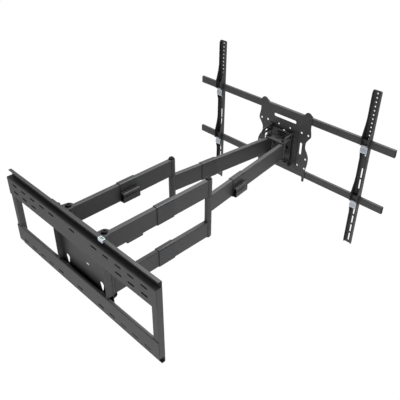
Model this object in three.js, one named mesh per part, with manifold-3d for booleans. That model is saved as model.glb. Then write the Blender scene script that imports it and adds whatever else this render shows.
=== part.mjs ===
// Full motion wall mount for a large screen: a slotted wall plate, two folding double arms,
// a swivel and tilt head, and a frame of two rails with two screen arms.
// Millimetres. X runs along the wall, -Y points from the wall into the room, +Z is up.
// The origin is on the back face of the upper wall rail, between its slots.
import * as THREE from 'three';
import { mergeVertices } from 'three/addons/utils/BufferGeometryUtils.js';
import Module from 'manifold-3d';

const wasm = await Module();
wasm.setup();

// ---------------------------------------------------------------- driving dimensions
const gap = 0.3;                  // clearance between pieces that touch
const cornerSteps = 2;            // facets in a rounded corner
const endSteps = 4;               // facets in the round end of a slot
const holeSteps = 10;             // facets round a punched hole
const roundSteps = 18;            // facets round a barrel or bore

// wall plate
const plateLength = 850;
const railThickness = 2.5;
const railDepth = 26;             // from the wall to the front of the rail
const webTop = 148.5;             // height of the shelf above the plate's middle
const webHeight = 78;
const lipRise = 25;
const lipReturn = 14;
const innerDepth = 12;           // depth of the rail's inner flange
const innerReturn = 50;          // height of the fold that runs back from it
const railSlotLength = 32;
const railSlotHeight = 7.5;
const railSlotPitch = 62;
const fullRowRise = 20;           // slot row along the whole rail, above the web's middle
const shortRowDrop = 11.5;        // second row at the upper rail's ends, below the web's middle
const sideWidth = 27;
const centreHalfWidth = 165;
const centreHalfHeight = 170;
const centreThickness = 3;
const centreFlangeX = 128;       // right flange, reaching back to the wall; the left one is at the edge
const mountHeight = 88;           // the origin's height above the plate's middle
const shelfThickness = 4;
const shelfHalfWidth = 128;
const shelfLegHeight = 26;
const shelfLedge = 10;            // depth of the shelf between its two lobes
const lobeRadius = 20;
const keyholeX = 103;
const keyholeZ = -60;
const levelX = -152;
const levelLength = 24;
const levelWidth = 14;
const vialRadius = 4;
const vialLength = 16;
const plateBoltX = 118;
const plateBoltZ = 160;
const plateBoltRadius = 4;

// arms
const shoulderHalfSpacing = 104;
const shoulderReach = 60;         // pivot axis in front of the wall
const wallArmLength = 480;        // pivot to pivot
const forearmLength = 545;        // pivot to pivot
const headHalfSpacing = 40;
const tubeWidth = 20;
const tubeWall = 1.6;
const tubeCorner = 3;
const wallTubeHeight = 73;
const armTop = 141;
const middleZone = 120;           // height between the upper and lower wall tubes
const forearmHeight = 76;
const barrelRadius = 14;
const headBarrelRadius = 13;
const boltRadius = 6;
const headBoltRadius = 5;
const boltClearance = 0.3;
const linkageClearance = 3.8;     // extra room round the pivot where the linkage is opened
const washerThickness = 1.5;
const boltHeadRadius = 11;
const boltHeadHeight = 7;

// cable clips
const clipLength = 78;
const clipWall = 2.4;
const clipFit = 0.4;
const clipChannelWidth = 15;
const clipChannelHeight = 36;
const clipSlit = 4;
const wallClipDistance = 253;     // shoulder to clip centre
const forearmClipDistance = 187;  // elbow to clip centre

// head
const yokeThickness = 4;
const yokeRadius = 17;
const swivelOffset = 22;          // swivel axis in front of the head pivots
const swivelBarrelRadius = 11;
const swivelWebGap = 1.8;
const headSheet = 3;
const cheekInner = 60;            // outer face of the swivel bracket's cheeks
const swivelTop = 104;
const swivelBottom = -58;
const tiltAxisZ = -42;
const tiltLockZ = 95;
const tiltShaftRadius = 5;
const tiltLockRadius = 4;
const cheekLobe = 12;             // rounded ear of the tilt cheek round its axis
const tiltGap = 14;               // room for the plate to tip back
const tiltDown = 15;              // degrees
const tiltUp = 5;                 // degrees

// screen frame
const faceThickness = 3;
const screenRailHalfLength = 531;
const screenRailHeight = 34;
const screenRailDepth = 14;
const upperRailZ = 184;
const lowerRailZ = -86;
const screenArmX = 404;
const screenArmTop = 407;
const screenArmBottom = -331;
const screenArmHalfWidth = 18;
const screenArmSheet = 2.4;
const screenArmLip = 14;
const hookDepth = 35;
const hookReach = 6;              // how far the hook's leg stops above the rail's lower edge
const slideFit = 0.5;
const armHoleRadius = 3.3;
const armHolePitch = 18;
const armHoleCount = 12;
const armHoleTop = 395;

// ---------------------------------------------------------------- derived places
const webBottom = webTop - webHeight;
const lipTop = webTop + lipRise;
const upperTubeBottom = armTop - wallTubeHeight;
const lowerTubeTop = upperTubeBottom - middleZone;
const armBottom = lowerTubeTop - wallTubeHeight;
const turnGap = washerThickness + 2 * gap;
const middleTop = upperTubeBottom - turnGap;
const middleBottom = lowerTubeTop + turnGap;
const forearmBottom = middleTop - forearmHeight;
const upperShelfBottom = armTop + turnGap;
const lowerShelfTop = armBottom - turnGap;
const shoulderY = -shoulderReach;
const elbowY = shoulderY - wallArmLength;
const forearmSplay = Math.asin((shoulderHalfSpacing - headHalfSpacing) / forearmLength);
const headY = elbowY - forearmLength * Math.cos(forearmSplay);
const swivelY = headY - swivelOffset;
const yokeTopBottom = middleTop + turnGap;
const yokeBottomTop = forearmBottom - turnGap;
const swivelWebBack = swivelY - swivelBarrelRadius - swivelWebGap;
const tiltAxisY = swivelY - 2;
const cheekOuter = cheekInner + 1;
const faceBack = swivelWebBack - headSheet - tiltGap;
const faceFront = faceBack - faceThickness;
const screenRailBack = faceFront - gap;
const screenRailFront = screenRailBack - screenRailDepth;
const screenWebBack = screenRailFront - slideFit;
const screenWebFront = screenWebBack - screenArmSheet;
const centrePlateBack = -railDepth - gap;
const centrePlateFront = centrePlateBack - centreThickness;
const shelfBack = centrePlateFront - gap;

// ---------------------------------------------------------------- materials
const coat = (colour, roughness) =>
  new THREE.MeshStandardMaterial({ color: colour, roughness, metalness: 0.35 });
const blackCoat = () => coat(0x2b2c2e, 0.55);
const blackHardware = () => new THREE.MeshStandardMaterial({ color: 0x1d1d1f, roughness: 0.4, metalness: 0.7 });
const blackPlastic = () => new THREE.MeshStandardMaterial({ color: 0x242527, roughness: 0.6, metalness: 0 });
const zinc = () => new THREE.MeshStandardMaterial({ color: 0xc3cbd6, roughness: 0.3, metalness: 0.9 });
const whitePlastic = () => new THREE.MeshStandardMaterial({ color: 0xd9e2ee, roughness: 0.5, metalness: 0 });
const vialFluid = () => new THREE.MeshStandardMaterial({ color: 0x9bd05a, roughness: 0.1, metalness: 0 });

// ---------------------------------------------------------------- solids
function toSolid(geometry) {
  const bare = geometry.clone();
  bare.deleteAttribute('normal');
  bare.deleteAttribute('uv');
  const merged = mergeVertices(bare, 1e-4);
  return new wasm.Manifold(new wasm.Mesh({
    numProp: 3,
    vertProperties: Float32Array.from(merged.attributes.position.array),
    triVerts: Uint32Array.from(merged.index.array),
  }));
}

function toGeometry(solid) {
  const mesh = solid.getMesh();
  const geometry = new THREE.BufferGeometry();
  geometry.setAttribute('position', new THREE.BufferAttribute(Float32Array.from(mesh.vertProperties), 3));
  geometry.setIndex(new THREE.BufferAttribute(Uint32Array.from(mesh.triVerts), 1));
  geometry.computeVertexNormals();
  return geometry;
}

function join(...geometries) {
  return toGeometry(geometries.map(toSolid).reduce((whole, piece) => whole.add(piece)));
}

function cut(base, ...tools) {
  return toGeometry(tools.map(toSolid).reduce((whole, tool) => whole.subtract(tool), toSolid(base)));
}

// A flat shape in X and Y, standing from height z upwards.
function standing(shape, z, height) {
  const geometry = new THREE.ExtrudeGeometry(shape, { depth: height, bevelEnabled: false });
  return geometry.translate(0, 0, z);
}

// A flat shape in X and Z, running from back (nearer the wall) towards the room.
function facing(shape, back, thickness) {
  const geometry = new THREE.ExtrudeGeometry(shape, { depth: thickness, bevelEnabled: false });
  return geometry.rotateX(Math.PI / 2).translate(0, back, 0);
}

// A flat shape in Y and Z, running along X from x.
function sideways(shape, x, width) {
  const geometry = new THREE.ExtrudeGeometry(shape, { depth: width, bevelEnabled: false });
  const turn = new THREE.Matrix4().makeBasis(
    new THREE.Vector3(0, 1, 0),
    new THREE.Vector3(0, 0, 1),
    new THREE.Vector3(1, 0, 0),
  );
  return geometry.applyMatrix4(turn).translate(x, 0, 0);
}

function outline(points) {
  return new THREE.Shape(points.map(([u, v]) => new THREE.Vector2(u, v)));
}

function arc(u, v, radius, from, to, steps) {
  const points = [];
  for (let i = 0; i <= steps; i += 1) {
    const angle = from + ((to - from) * i) / steps;
    points.push([u + radius * Math.cos(angle), v + radius * Math.sin(angle)]);
  }
  return points;
}

function roundedBox(u0, v0, u1, v1, radius) {
  const quarter = Math.PI / 2;
  return outline([
    ...arc(u1 - radius, v0 + radius, radius, -quarter, 0, cornerSteps),
    ...arc(u1 - radius, v1 - radius, radius, 0, quarter, cornerSteps),
    ...arc(u0 + radius, v1 - radius, radius, quarter, 2 * quarter, cornerSteps),
    ...arc(u0 + radius, v0 + radius, radius, 2 * quarter, 3 * quarter, cornerSteps),
  ]);
}

// A slot with round ends about (u, v); length and height are over all.
function slotShape(u, v, length, height) {
  const radius = height / 2;
  const reach = length / 2 - radius;
  const half = Math.PI / 2;
  return outline([
    ...arc(u + reach, v, radius, -half, half, endSteps),
    ...arc(u - reach, v, radius, half, 3 * half, endSteps),
  ]);
}

function uprightSlotShape(u, v, width, height) {
  const radius = width / 2;
  const reach = height / 2 - radius;
  return outline([
    ...arc(u, v + reach, radius, 0, Math.PI, endSteps),
    ...arc(u, v - reach, radius, Math.PI, 2 * Math.PI, endSteps),
  ]);
}

function circle(u, v, radius) {
  return outline(arc(u, v, radius, 0, 2 * Math.PI, holeSteps).slice(1));
}

function barrel(radius, bottom, top, x = 0, y = 0) {
  const geometry = new THREE.CylinderGeometry(radius, radius, top - bottom, roundSteps);
  return geometry.rotateX(Math.PI / 2).translate(x, y, (top + bottom) / 2);
}

function box(x0, y0, z0, x1, y1, z1) {
  const geometry = new THREE.BoxGeometry(x1 - x0, y1 - y0, z1 - z0);
  return geometry.translate((x0 + x1) / 2, (y0 + y1) / 2, (z0 + z1) / 2);
}

// An upright bolt on the Z axis: round head with a hex socket, plain shank, hex nut below.
function pivotBolt(radius, top, bottom) {
  const socketRadius = radius * 0.7;
  const socketDepth = boltHeadHeight * 0.6;
  const headRadius = radius * boltHeadRadius / boltRadius;
  const profile = [
    [0, bottom - boltHeadHeight],
    [radius, bottom - boltHeadHeight],
    [radius, top],
    [headRadius, top],
    [headRadius, top + boltHeadHeight * 0.6],
    [headRadius * 0.75, top + boltHeadHeight],
    [0, top + boltHeadHeight],
  ].map(([r, z]) => new THREE.Vector2(r, z));
  const body = new THREE.LatheGeometry(profile, roundSteps).rotateX(Math.PI / 2);
  const nut = new THREE.CylinderGeometry(headRadius, headRadius, boltHeadHeight * 0.85, 6).rotateX(Math.PI / 2)
    .translate(0, 0, bottom - boltHeadHeight * 0.425);
  const socket = new THREE.CylinderGeometry(socketRadius, socketRadius, 2 * socketDepth, 6)
    .rotateX(Math.PI / 2).translate(0, 0, top + boltHeadHeight);
  return cut(join(body, nut), socket);
}

function addPiece(group, name, geometry, material) {
  const mesh = new THREE.Mesh(geometry, material);
  mesh.name = name;
  group.add(mesh);
  return mesh;
}

// ---------------------------------------------------------------- wall plate
// Rolled rail: slotted web on the wall, a shelf, an upright and a short lip turned back.
function wallRail(up) {
  const t = railThickness;
  const profile = outline([
    [0, webBottom], [0, webTop], [-railDepth + t, webTop], [-railDepth + t, lipTop - t],
    [-railDepth + lipReturn, lipTop - t], [-railDepth + lipReturn, lipTop], [-railDepth, lipTop],
    [-railDepth, webTop - t], [-t, webTop - t], [-t, webBottom + t], [-innerDepth + t, webBottom + t],
    [-innerDepth + t, webBottom + innerReturn], [-innerDepth, webBottom + innerReturn],
    [-innerDepth, webBottom],
  ]);
  const bar = sideways(profile, -plateLength / 2, plateLength);
  const slots = [];
  const webMiddle = (webTop + webBottom) / 2;
  const slotAt = (step, z) => slotShape(step * railSlotPitch, z, railSlotLength, railSlotHeight);
  for (const step of [-6, -5, -4, -3, -2, 0, 2, 3, 4, 5, 6]) {
    slots.push(slotAt(step, webMiddle + fullRowRise));
    if (up > 0 && Math.abs(step) > 3) slots.push(slotAt(step, webMiddle - shortRowDrop));
  }
  const tools = slots.map((shape) => facing(shape, 1, t + 2));
  for (const side of [-1, 1]) {
    const bolt = circle(side * plateBoltX, plateBoltZ, plateBoltRadius + boltClearance);
    tools.push(facing(bolt, -railDepth + t + 1, t + 2));
    const inner = plateLength / 2 - sideWidth - gap;
    const [x0, x1] = side > 0 ? [inner, plateLength] : [-plateLength, -inner];
    tools.push(box(x0, -innerDepth - 1, webBottom - 1, x1, -t, webBottom + innerReturn + 1));
  }
  const notchHalf = levelLength / 2 + 1;
  const notch = box(levelX - notchHalf, -railDepth + t + gap, lipTop - t - 1, levelX + notchHalf, 1, lipTop + 1);
  const geometry = cut(bar, ...tools, ...(up > 0 ? [notch] : []));
  if (up > 0) return geometry;
  return geometry.rotateY(Math.PI);
}

function sideChannel(side) {
  const t = railThickness;
  const outer = plateLength / 2;
  const inner = outer - sideWidth;
  const back = -t - gap;
  const profile = outline([
    [inner, -railDepth], [inner + t, -railDepth], [inner + t, back - t], [outer - t, back - t],
    [outer - t, -railDepth], [outer, -railDepth], [outer, back], [inner, back],
  ]);
  const half = webTop - t - gap;
  return standing(profile, -half, 2 * half).translate(side > 0 ? 0 : -outer - inner, 0, 0);
}

// Keyhole cut-out: a wide round top narrowing to a small round foot.
function teardrop(x, z) {
  const wide = 11;
  const narrow = 5.5;
  const drop = 24;
  return outline([
    ...arc(x, z, wide, 0, Math.PI, 2 * endSteps),
    ...arc(x, z - drop, narrow, Math.PI, 2 * Math.PI, endSteps),
  ]);
}

function centrePlate() {
  const w = centreHalfWidth;
  const h = centreHalfHeight;
  const corner = 14;
  const shape = outline([
    [-w, -h + corner], [-w + corner, -h], [w - corner, -h], [w, -h + corner],
    [w, h - corner], [w - corner, h], [-w + corner, h], [-w, h - corner],
  ]);
  for (const side of [-1, 1]) {
    shape.holes.push(teardrop(side * keyholeX, keyholeZ));
    shape.holes.push(slotShape(side * keyholeX, keyholeZ - 40, 26, 6));
    shape.holes.push(circle(side * 152, 19, 4.5));
    for (const row of [-1, 1]) {
      shape.holes.push(circle(side * plateBoltX, row * plateBoltZ, plateBoltRadius + boltClearance));
    }
  }
  shape.holes.push(circle(20, 29, 3));
  shape.holes.push(slotShape(-27, -15, 20, 8));
  const plate = facing(shape, centrePlateBack, centreThickness);
  const half = webBottom - 1;
  const flanges = [-w, centreFlangeX - centreThickness].map((x) =>
    box(x, centrePlateFront, -half, x + centreThickness, -1, half));
  return join(plate, ...flanges);
}

// Angle that carries the arms' pivot bolts; the legs of the two point towards each other.
function pivotShelf(up) {
  const t = shelfThickness;
  const w = shelfHalfWidth;
  const [bottom, top] = up > 0
    ? [upperShelfBottom, upperShelfBottom + t]
    : [lowerShelfTop - t, lowerShelfTop];
  const lobe = (x) => arc(x, shoulderY, lobeRadius, Math.PI, 2 * Math.PI, 2 * endSteps);
  const inner = shoulderHalfSpacing - lobeRadius;
  const shape = outline([
    [-w, shelfBack], [-w, shelfBack - shelfLedge], ...lobe(-shoulderHalfSpacing),
    [-inner, shelfBack - shelfLedge], [inner, shelfBack - shelfLedge], ...lobe(shoulderHalfSpacing),
    [w, shelfBack - shelfLedge], [w, shelfBack],
  ]);
  for (const side of [-1, 1]) {
    shape.holes.push(circle(side * shoulderHalfSpacing, shoulderY, boltRadius + boltClearance));
  }
  const shelf = standing(shape, bottom, t);
  const leg = up > 0
    ? box(-w, shelfBack - t, top - shelfLegHeight, w, shelfBack, top)
    : box(-w, shelfBack - t, bottom, w, shelfBack, bottom + shelfLegHeight);
  return join(shelf, leg);
}

// Button-head bolt through the rail's upright and the centre plate, with its nut in the room side.
function plateBolt() {
  const headRadius = plateBoltRadius * 2;
  const headHeight = 3.5;
  const nutHeight = 5.5;
  const start = -railDepth + railThickness + gap;
  const grip = start - centrePlateFront + gap;
  const points = [
    [0, -grip - nutHeight - 2],
    [plateBoltRadius, -grip - nutHeight - 2],
    [plateBoltRadius, 0],
    [headRadius, 0],
    [headRadius * 0.7, headHeight],
    [0, headHeight],
  ].map(([r, y]) => new THREE.Vector2(r, y));
  const body = new THREE.LatheGeometry(points, roundSteps);
  const nut = new THREE.CylinderGeometry(7.5, 7.5, nutHeight, 6).translate(0, -grip - nutHeight / 2, 0);
  return join(body, nut).translate(0, start, 0);
}

function levelBody() {
  const back = -railDepth + railThickness + gap;
  const block = box(-levelLength / 2, back, lipTop - 9, levelLength / 2, back + levelWidth, lipTop + 1.5);
  const half = vialLength / 2 + gap;
  const around = circle(back + levelWidth / 2, lipTop - 3, vialRadius + gap);
  const trough = sideways(around, -half, 2 * half);
  const window = box(-half, back + 2.5, lipTop - 3, half, back + levelWidth - 2.5, lipTop + 3);
  return cut(block, trough, window).translate(levelX, 0, 0);
}

function levelVial() {
  const middle = -railDepth + railThickness + gap + levelWidth / 2;
  return sideways(circle(middle, lipTop - 3, vialRadius), -vialLength / 2, vialLength).translate(levelX, 0, 0);
}

// ---------------------------------------------------------------- arms
// Rectangular tube from one pivot axis towards the next, hollow, saddle-cut round the first barrel.
function armTube(bottom, top, length, firstRadius) {
  const half = tubeWidth / 2;
  const section = roundedBox(-half, bottom, half, top, tubeCorner);
  const inside = half - tubeWall;
  section.holes.push(roundedBox(-inside, bottom + tubeWall, inside, top - tubeWall, tubeCorner - tubeWall));
  return cut(facing(section, 0, length), barrel(firstRadius + gap, bottom - 1, top + 1));
}

function ring(radius, bore, bottom, top, x = 0, y = 0) {
  return cut(barrel(radius, bottom, top, x, y), barrel(bore, bottom - 1, top + 1, x, y));
}

// Wall tube with the knuckle welded on at the elbow.
function wallTube(bottom, top) {
  const tube = armTube(bottom, top, wallArmLength, barrelRadius);
  const knuckle = barrel(barrelRadius, bottom, top, 0, -wallArmLength);
  return cut(join(tube, knuckle), barrel(boltRadius + boltClearance, bottom - 1, top + 1, 0, -wallArmLength));
}

// Forearm tube with the barrel of the head pivot welded on.
function forearmTube(bore) {
  const tube = armTube(forearmBottom, middleTop, forearmLength, barrelRadius);
  const end = barrel(headBarrelRadius, forearmBottom, middleTop, 0, -forearmLength);
  return cut(join(tube, end), barrel(bore, forearmBottom - 1, middleTop + 1, 0, -forearmLength));
}

// Plastic clip that wraps a tube and carries an open cable channel on one side.
function cableClip(bottom, top, distance, side) {
  const half = tubeWidth / 2 + clipFit;
  const outer = half + clipWall;
  const z0 = bottom - clipFit;
  const z1 = top + clipFit;
  const channelIn = outer;
  const channelOut = outer + clipChannelWidth;
  const channelBottom = z0 + 2;
  const channelTop = channelBottom + clipChannelHeight;
  const run = (shape, extra = 0) => facing(shape, -distance + clipLength / 2 + extra, clipLength + 2 * extra);
  const spanX = (a, b, low, high, radius) =>
    roundedBox(Math.min(side * a, side * b), low, Math.max(side * a, side * b), high, radius);
  const body = join(
    run(roundedBox(-outer, z0 - clipWall, outer, z1 + clipWall, tubeCorner + clipWall)),
    run(spanX(0, channelOut + clipWall, channelBottom - clipWall, channelTop + clipWall, 4)),
  );
  const slitMiddle = channelTop - clipChannelHeight * 0.3;
  return cut(
    body,
    run(roundedBox(-half, z0, half, z1, tubeCorner), 1),
    run(spanX(channelIn, channelOut, channelBottom, channelTop, 2), 1),
    run(spanX(channelOut - 1, channelOut + clipWall + 1, slitMiddle - clipSlit / 2, slitMiddle + clipSlit / 2, 0.5), 1),
  );
}

function addWallArm(name, side) {
  const arm = new THREE.Group();
  arm.position.set(side * shoulderHalfSpacing, shoulderY, 0);
  mount.add(arm);
  const shoulder = ring(barrelRadius, boltRadius + boltClearance, armBottom, armTop);
  addPiece(arm, `${name}_shoulder_barrel`, shoulder, blackCoat());
  addPiece(arm, `${name}_wall_tube_upper`, wallTube(upperTubeBottom, armTop), blackCoat());
  addPiece(arm, `${name}_wall_tube_lower`, wallTube(armBottom, lowerTubeTop), blackCoat());
  const bolt = pivotBolt(boltRadius, armTop + gap, armBottom - gap).translate(0, -wallArmLength, 0);
  addPiece(arm, `${name}_elbow_bolt`, bolt, blackHardware());
  const upperClip = cableClip(upperTubeBottom, armTop, wallClipDistance, -side);
  const lowerClip = cableClip(armBottom, lowerTubeTop, wallClipDistance, -side);
  addPiece(arm, `${name}_clip_upper`, upperClip, blackPlastic());
  addPiece(arm, `${name}_clip_lower`, lowerClip, blackPlastic());
}

function addForearm(name, side, headBore) {
  const forearm = new THREE.Group();
  forearm.position.set(side * shoulderHalfSpacing, elbowY, 0);
  forearm.rotation.z = -side * forearmSplay;
  mount.add(forearm);
  const bore = boltRadius + boltClearance;
  addPiece(forearm, `${name}_elbow_barrel`, ring(barrelRadius, bore, middleBottom, middleTop), blackCoat());
  addPiece(forearm, `${name}_forearm_tube`, forearmTube(headBore), blackCoat());
  const washerRadius = barrelRadius + 0.5;
  addPiece(forearm, `${name}_elbow_washer_upper`,
    ring(washerRadius, bore, middleTop + gap, middleTop + gap + washerThickness), blackPlastic());
  addPiece(forearm, `${name}_elbow_washer_lower`,
    ring(washerRadius, bore, middleBottom - gap - washerThickness, middleBottom - gap), blackPlastic());
  addPiece(forearm, `${name}_clip_forearm`,
    cableClip(forearmBottom, middleTop, forearmClipDistance, side), blackPlastic());
}

// ---------------------------------------------------------------- head
// Plate over or under the forearm ends, narrowing to the swivel axis.
function yokePlate(bottom) {
  const stadium = standing(slotShape(0, 0, 2 * (headHalfSpacing + yokeRadius), 2 * yokeRadius), bottom, yokeThickness);
  const nose = swivelBarrelRadius;
  const neck = standing(outline([
    [-headHalfSpacing, -yokeRadius + 0.5], [-nose, -swivelOffset],
    [nose, -swivelOffset], [headHalfSpacing, -yokeRadius + 0.5],
  ]), bottom, yokeThickness);
  const tip = barrel(nose, bottom, bottom + yokeThickness, 0, -swivelOffset);
  const holes = [-1, 1].map((side) => barrel(headBoltRadius + boltClearance, bottom - 1, bottom + yokeThickness + 1,
    side * headHalfSpacing, 0));
  holes.push(barrel(headBoltRadius + boltClearance, bottom - 1, bottom + yokeThickness + 1, 0, -swivelOffset));
  return cut(join(stadium, neck, tip), ...holes);
}

function swivelBracket() {
  const sheet = headSheet;
  const back = swivelWebBack;
  const web = facing(roundedBox(-cheekInner, swivelBottom, cheekInner, swivelTop, 3), back, sheet);
  const reach = tiltAxisY + 12;
  const strip = back + 3;
  const upperLobe = tiltLockZ - 10;
  const lowerLobe = tiltAxisZ + 13;
  const cheek = outline([
    [back - sheet, swivelBottom + 3], [back, swivelBottom], [reach - 8, swivelBottom], [reach, swivelBottom + 8],
    [reach, lowerLobe - 6], [reach - 6, lowerLobe], [strip, lowerLobe], [strip, upperLobe],
    [reach - 6, upperLobe], [reach, upperLobe + 6], [reach, swivelTop - 6], [reach - 6, swivelTop],
    [back, swivelTop], [back - sheet, swivelTop - 3],
  ]);
  const lugRadius = 15;
  const lug = outline([
    [-lugRadius, back - 1], [lugRadius, back - 1], ...arc(0, swivelY, lugRadius, 0, Math.PI, 2 * endSteps),
  ]);
  const upperLug = yokeTopBottom + yokeThickness + turnGap;
  const lowerLug = yokeBottomTop - yokeThickness - turnGap - yokeThickness;
  const solid = join(
    web,
    sideways(cheek, cheekInner - sheet, sheet),
    sideways(cheek, -cheekInner, sheet),
    standing(lug, upperLug, yokeThickness),
    standing(lug, lowerLug, yokeThickness),
  );
  const across = 2 * cheekInner + 2;
  return cut(
    solid,
    sideways(circle(tiltAxisY, tiltAxisZ, tiltShaftRadius + boltClearance), -across / 2, across),
    sideways(circle(tiltAxisY, tiltLockZ, tiltLockRadius + boltClearance), -across / 2, across),
    barrel(headBoltRadius + boltClearance, lowerLug - 1, upperLug + yokeThickness + 1, 0, swivelY),
    facing(slotShape(0, (swivelTop + upperLug) / 2, 50, 8), back + 1, sheet + 2),
    facing(circle(-36, 30, 9), back + 1, sheet + 2),
    facing(circle(36, 30, 9), back + 1, sheet + 2),
  );
}

// Angle on the back of the face plate: pivots on the tilt shaft, and its curved slot passes the lock bolt.
function tiltCheek(side) {
  const back = faceBack + gap;
  const lockReach = tiltLockZ - tiltAxisZ;
  const spare = 2.5;
  const toAngle = (degrees) => Math.PI / 2 - THREE.MathUtils.degToRad(degrees);
  const low = toAngle(tiltDown + spare);
  const high = toAngle(-tiltUp - spare);
  const slotRadius = tiltLockRadius + boltClearance;
  const wallEnd = tiltAxisY + lockReach * Math.cos(low) + slotRadius + 7;
  const top = tiltLockZ + 17;
  const under = tiltLockZ - 13;
  const strip = back + 10;
  const foot = tiltAxisZ - 18;
  const shape = outline([
    [back, foot], [tiltAxisY + 4, foot], [tiltAxisY + cheekLobe, tiltAxisZ - 8], [tiltAxisY + cheekLobe, tiltAxisZ + 8],
    [tiltAxisY + 7, tiltAxisZ + 15], [strip, tiltAxisZ + 15], [strip, under - 4], [strip + 6, under],
    [wallEnd - 8, under - 5], [wallEnd, under + 3], [wallEnd, top - 14], [wallEnd - 10, top - 6], [back, top],
  ]);
  const capAt = (angle) => [tiltAxisY + lockReach * Math.cos(angle), tiltAxisZ + lockReach * Math.sin(angle)];
  const slot = outline([
    ...arc(tiltAxisY, tiltAxisZ, lockReach + slotRadius, low, high, endSteps),
    ...arc(...capAt(high), slotRadius, high, high + Math.PI, endSteps).slice(1, -1),
    ...arc(tiltAxisY, tiltAxisZ, lockReach - slotRadius, high, low, endSteps),
    ...arc(...capAt(low), slotRadius, low + Math.PI, low + 2 * Math.PI, endSteps).slice(1, -1),
  ]);
  shape.holes.push(circle(tiltAxisY, tiltAxisZ, tiltShaftRadius + boltClearance));
  const cheek = sideways(shape, side > 0 ? cheekOuter : -cheekOuter - headSheet, headSheet);
  const flangeWidth = 20;
  const [x0, x1] = side > 0 ? [cheekOuter, cheekOuter + flangeWidth] : [-cheekOuter - flangeWidth, -cheekOuter];
  const flange = box(x0, back, foot, x1, back + headSheet, top);
  const cutSlot = sideways(slot, side > 0 ? cheekOuter - 1 : -cheekOuter - headSheet - 1, headSheet + 2);
  return cut(join(cheek, flange), cutSlot);
}

// Shaft through both pairs of cheeks, with a round head at each end.
function tiltShaft() {
  const half = cheekOuter + headSheet + gap;
  const points = [
    [0, -half - 5], [8, -half - 5], [9, -half - 3.5], [9, -half], [tiltShaftRadius, -half],
    [tiltShaftRadius, half], [9, half], [9, half + 3.5], [8, half + 5], [0, half + 5],
  ].map(([r, y]) => new THREE.Vector2(r, y));
  return new THREE.LatheGeometry(points, roundSteps).rotateZ(Math.PI / 2).translate(0, tiltAxisY, tiltAxisZ);
}

function tiltLockBolt(side) {
  const outer = cheekOuter + headSheet + gap;
  const inner = cheekInner - headSheet - gap;
  const points = [
    [0, inner - 6], [tiltLockRadius, inner - 6], [tiltLockRadius, outer], [9, outer], [9, outer + 4],
    [7, outer + 6], [0, outer + 6],
  ].map(([r, y]) => new THREE.Vector2(r, y));
  const bolt = new THREE.LatheGeometry(points, roundSteps);
  const nut = new THREE.CylinderGeometry(7.5, 7.5, 5, 6).translate(0, inner - 2.5, 0);
  return join(bolt, nut).rotateZ(-side * Math.PI / 2).translate(0, tiltAxisY, tiltLockZ);
}

// Right half of the face plate's edge, from the middle of the foot up to the middle of the top.
function facePlateEdge() {
  const top = upperRailZ + screenRailHeight / 2;
  const foot = lowerRailZ + screenRailHeight / 2 + 3;
  const tail = lowerRailZ - screenRailHeight / 2 - 19;
  const wave = new THREE.SplineCurve([
    [137, tail + 6], [138, -62], [144, -28], [145, 4], [136, 28], [124, 48], [124, 76], [136, 96], [146, 112],
    [145, 130], [141, 152], [140, top + 2],
  ].map(([x, z]) => new THREE.Vector2(x, z)));
  return [
    [0, foot],
    [116, foot],
    [124, foot - 8],
    ...arc(131, tail + 6, 6, Math.PI, 2 * Math.PI, endSteps),
    ...wave.getPoints(22).slice(1, -1).map((p) => [p.x, p.y]),
    ...arc(121, top + 2, 19, 0, Math.PI * 0.9, 2 * endSteps),
    [92, top],
    [0, top],
  ];
}

function facePlate() {
  const half = facePlateEdge();
  const mirrored = half.slice(1, -1).map(([x, z]) => [-x, z]).reverse();
  const shape = outline([...half, ...mirrored]);
  shape.holes.push(slotShape(0, 155, 124, 15));
  shape.holes.push(circle(0, 92, 7));
  for (const side of [-1, 1]) {
    shape.holes.push(circle(side * 132, 116, 5));
    shape.holes.push(circle(side * 96, 118, 5));
    shape.holes.push(circle(side * 32, 118, 4));
    shape.holes.push(circle(side * 132, -4, 5));
    shape.holes.push(circle(side * 131, -52, 5));
    shape.holes.push(circle(side * 92, -48, 4.5));
    shape.holes.push(circle(side * 32, -48, 4.5));
    shape.holes.push(uprightSlotShape(side * 100, 40, 12, 60));
  }
  const plate = facing(shape, faceBack, faceThickness);
  const railTop = upperRailZ + screenRailHeight / 2 + gap;
  const hooks = [-1, 1].map((side) => {
    const hook = outline([
      [faceFront + 1, railTop], [faceFront + 1, railTop + faceThickness],
      [screenRailFront - gap - faceThickness, railTop + faceThickness], [screenRailFront - gap - faceThickness, railTop - 10],
      [screenRailFront - gap, railTop - 10], [screenRailFront - gap, railTop],
    ]);
    return sideways(hook, side * 121 - 11, 22);
  });
  return join(plate, ...hooks);
}

// ---------------------------------------------------------------- screen frame
function screenRail(z) {
  const half = screenRailHeight / 2;
  const section = roundedBox(screenRailFront, z - half, screenRailBack, z + half, 4);
  const inside = half - tubeWall;
  const [front, back] = [screenRailFront + tubeWall, screenRailBack - tubeWall];
  section.holes.push(roundedBox(front, z - inside, back, z + inside, 2));
  return sideways(section, -screenRailHalfLength, 2 * screenRailHalfLength);
}

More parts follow.
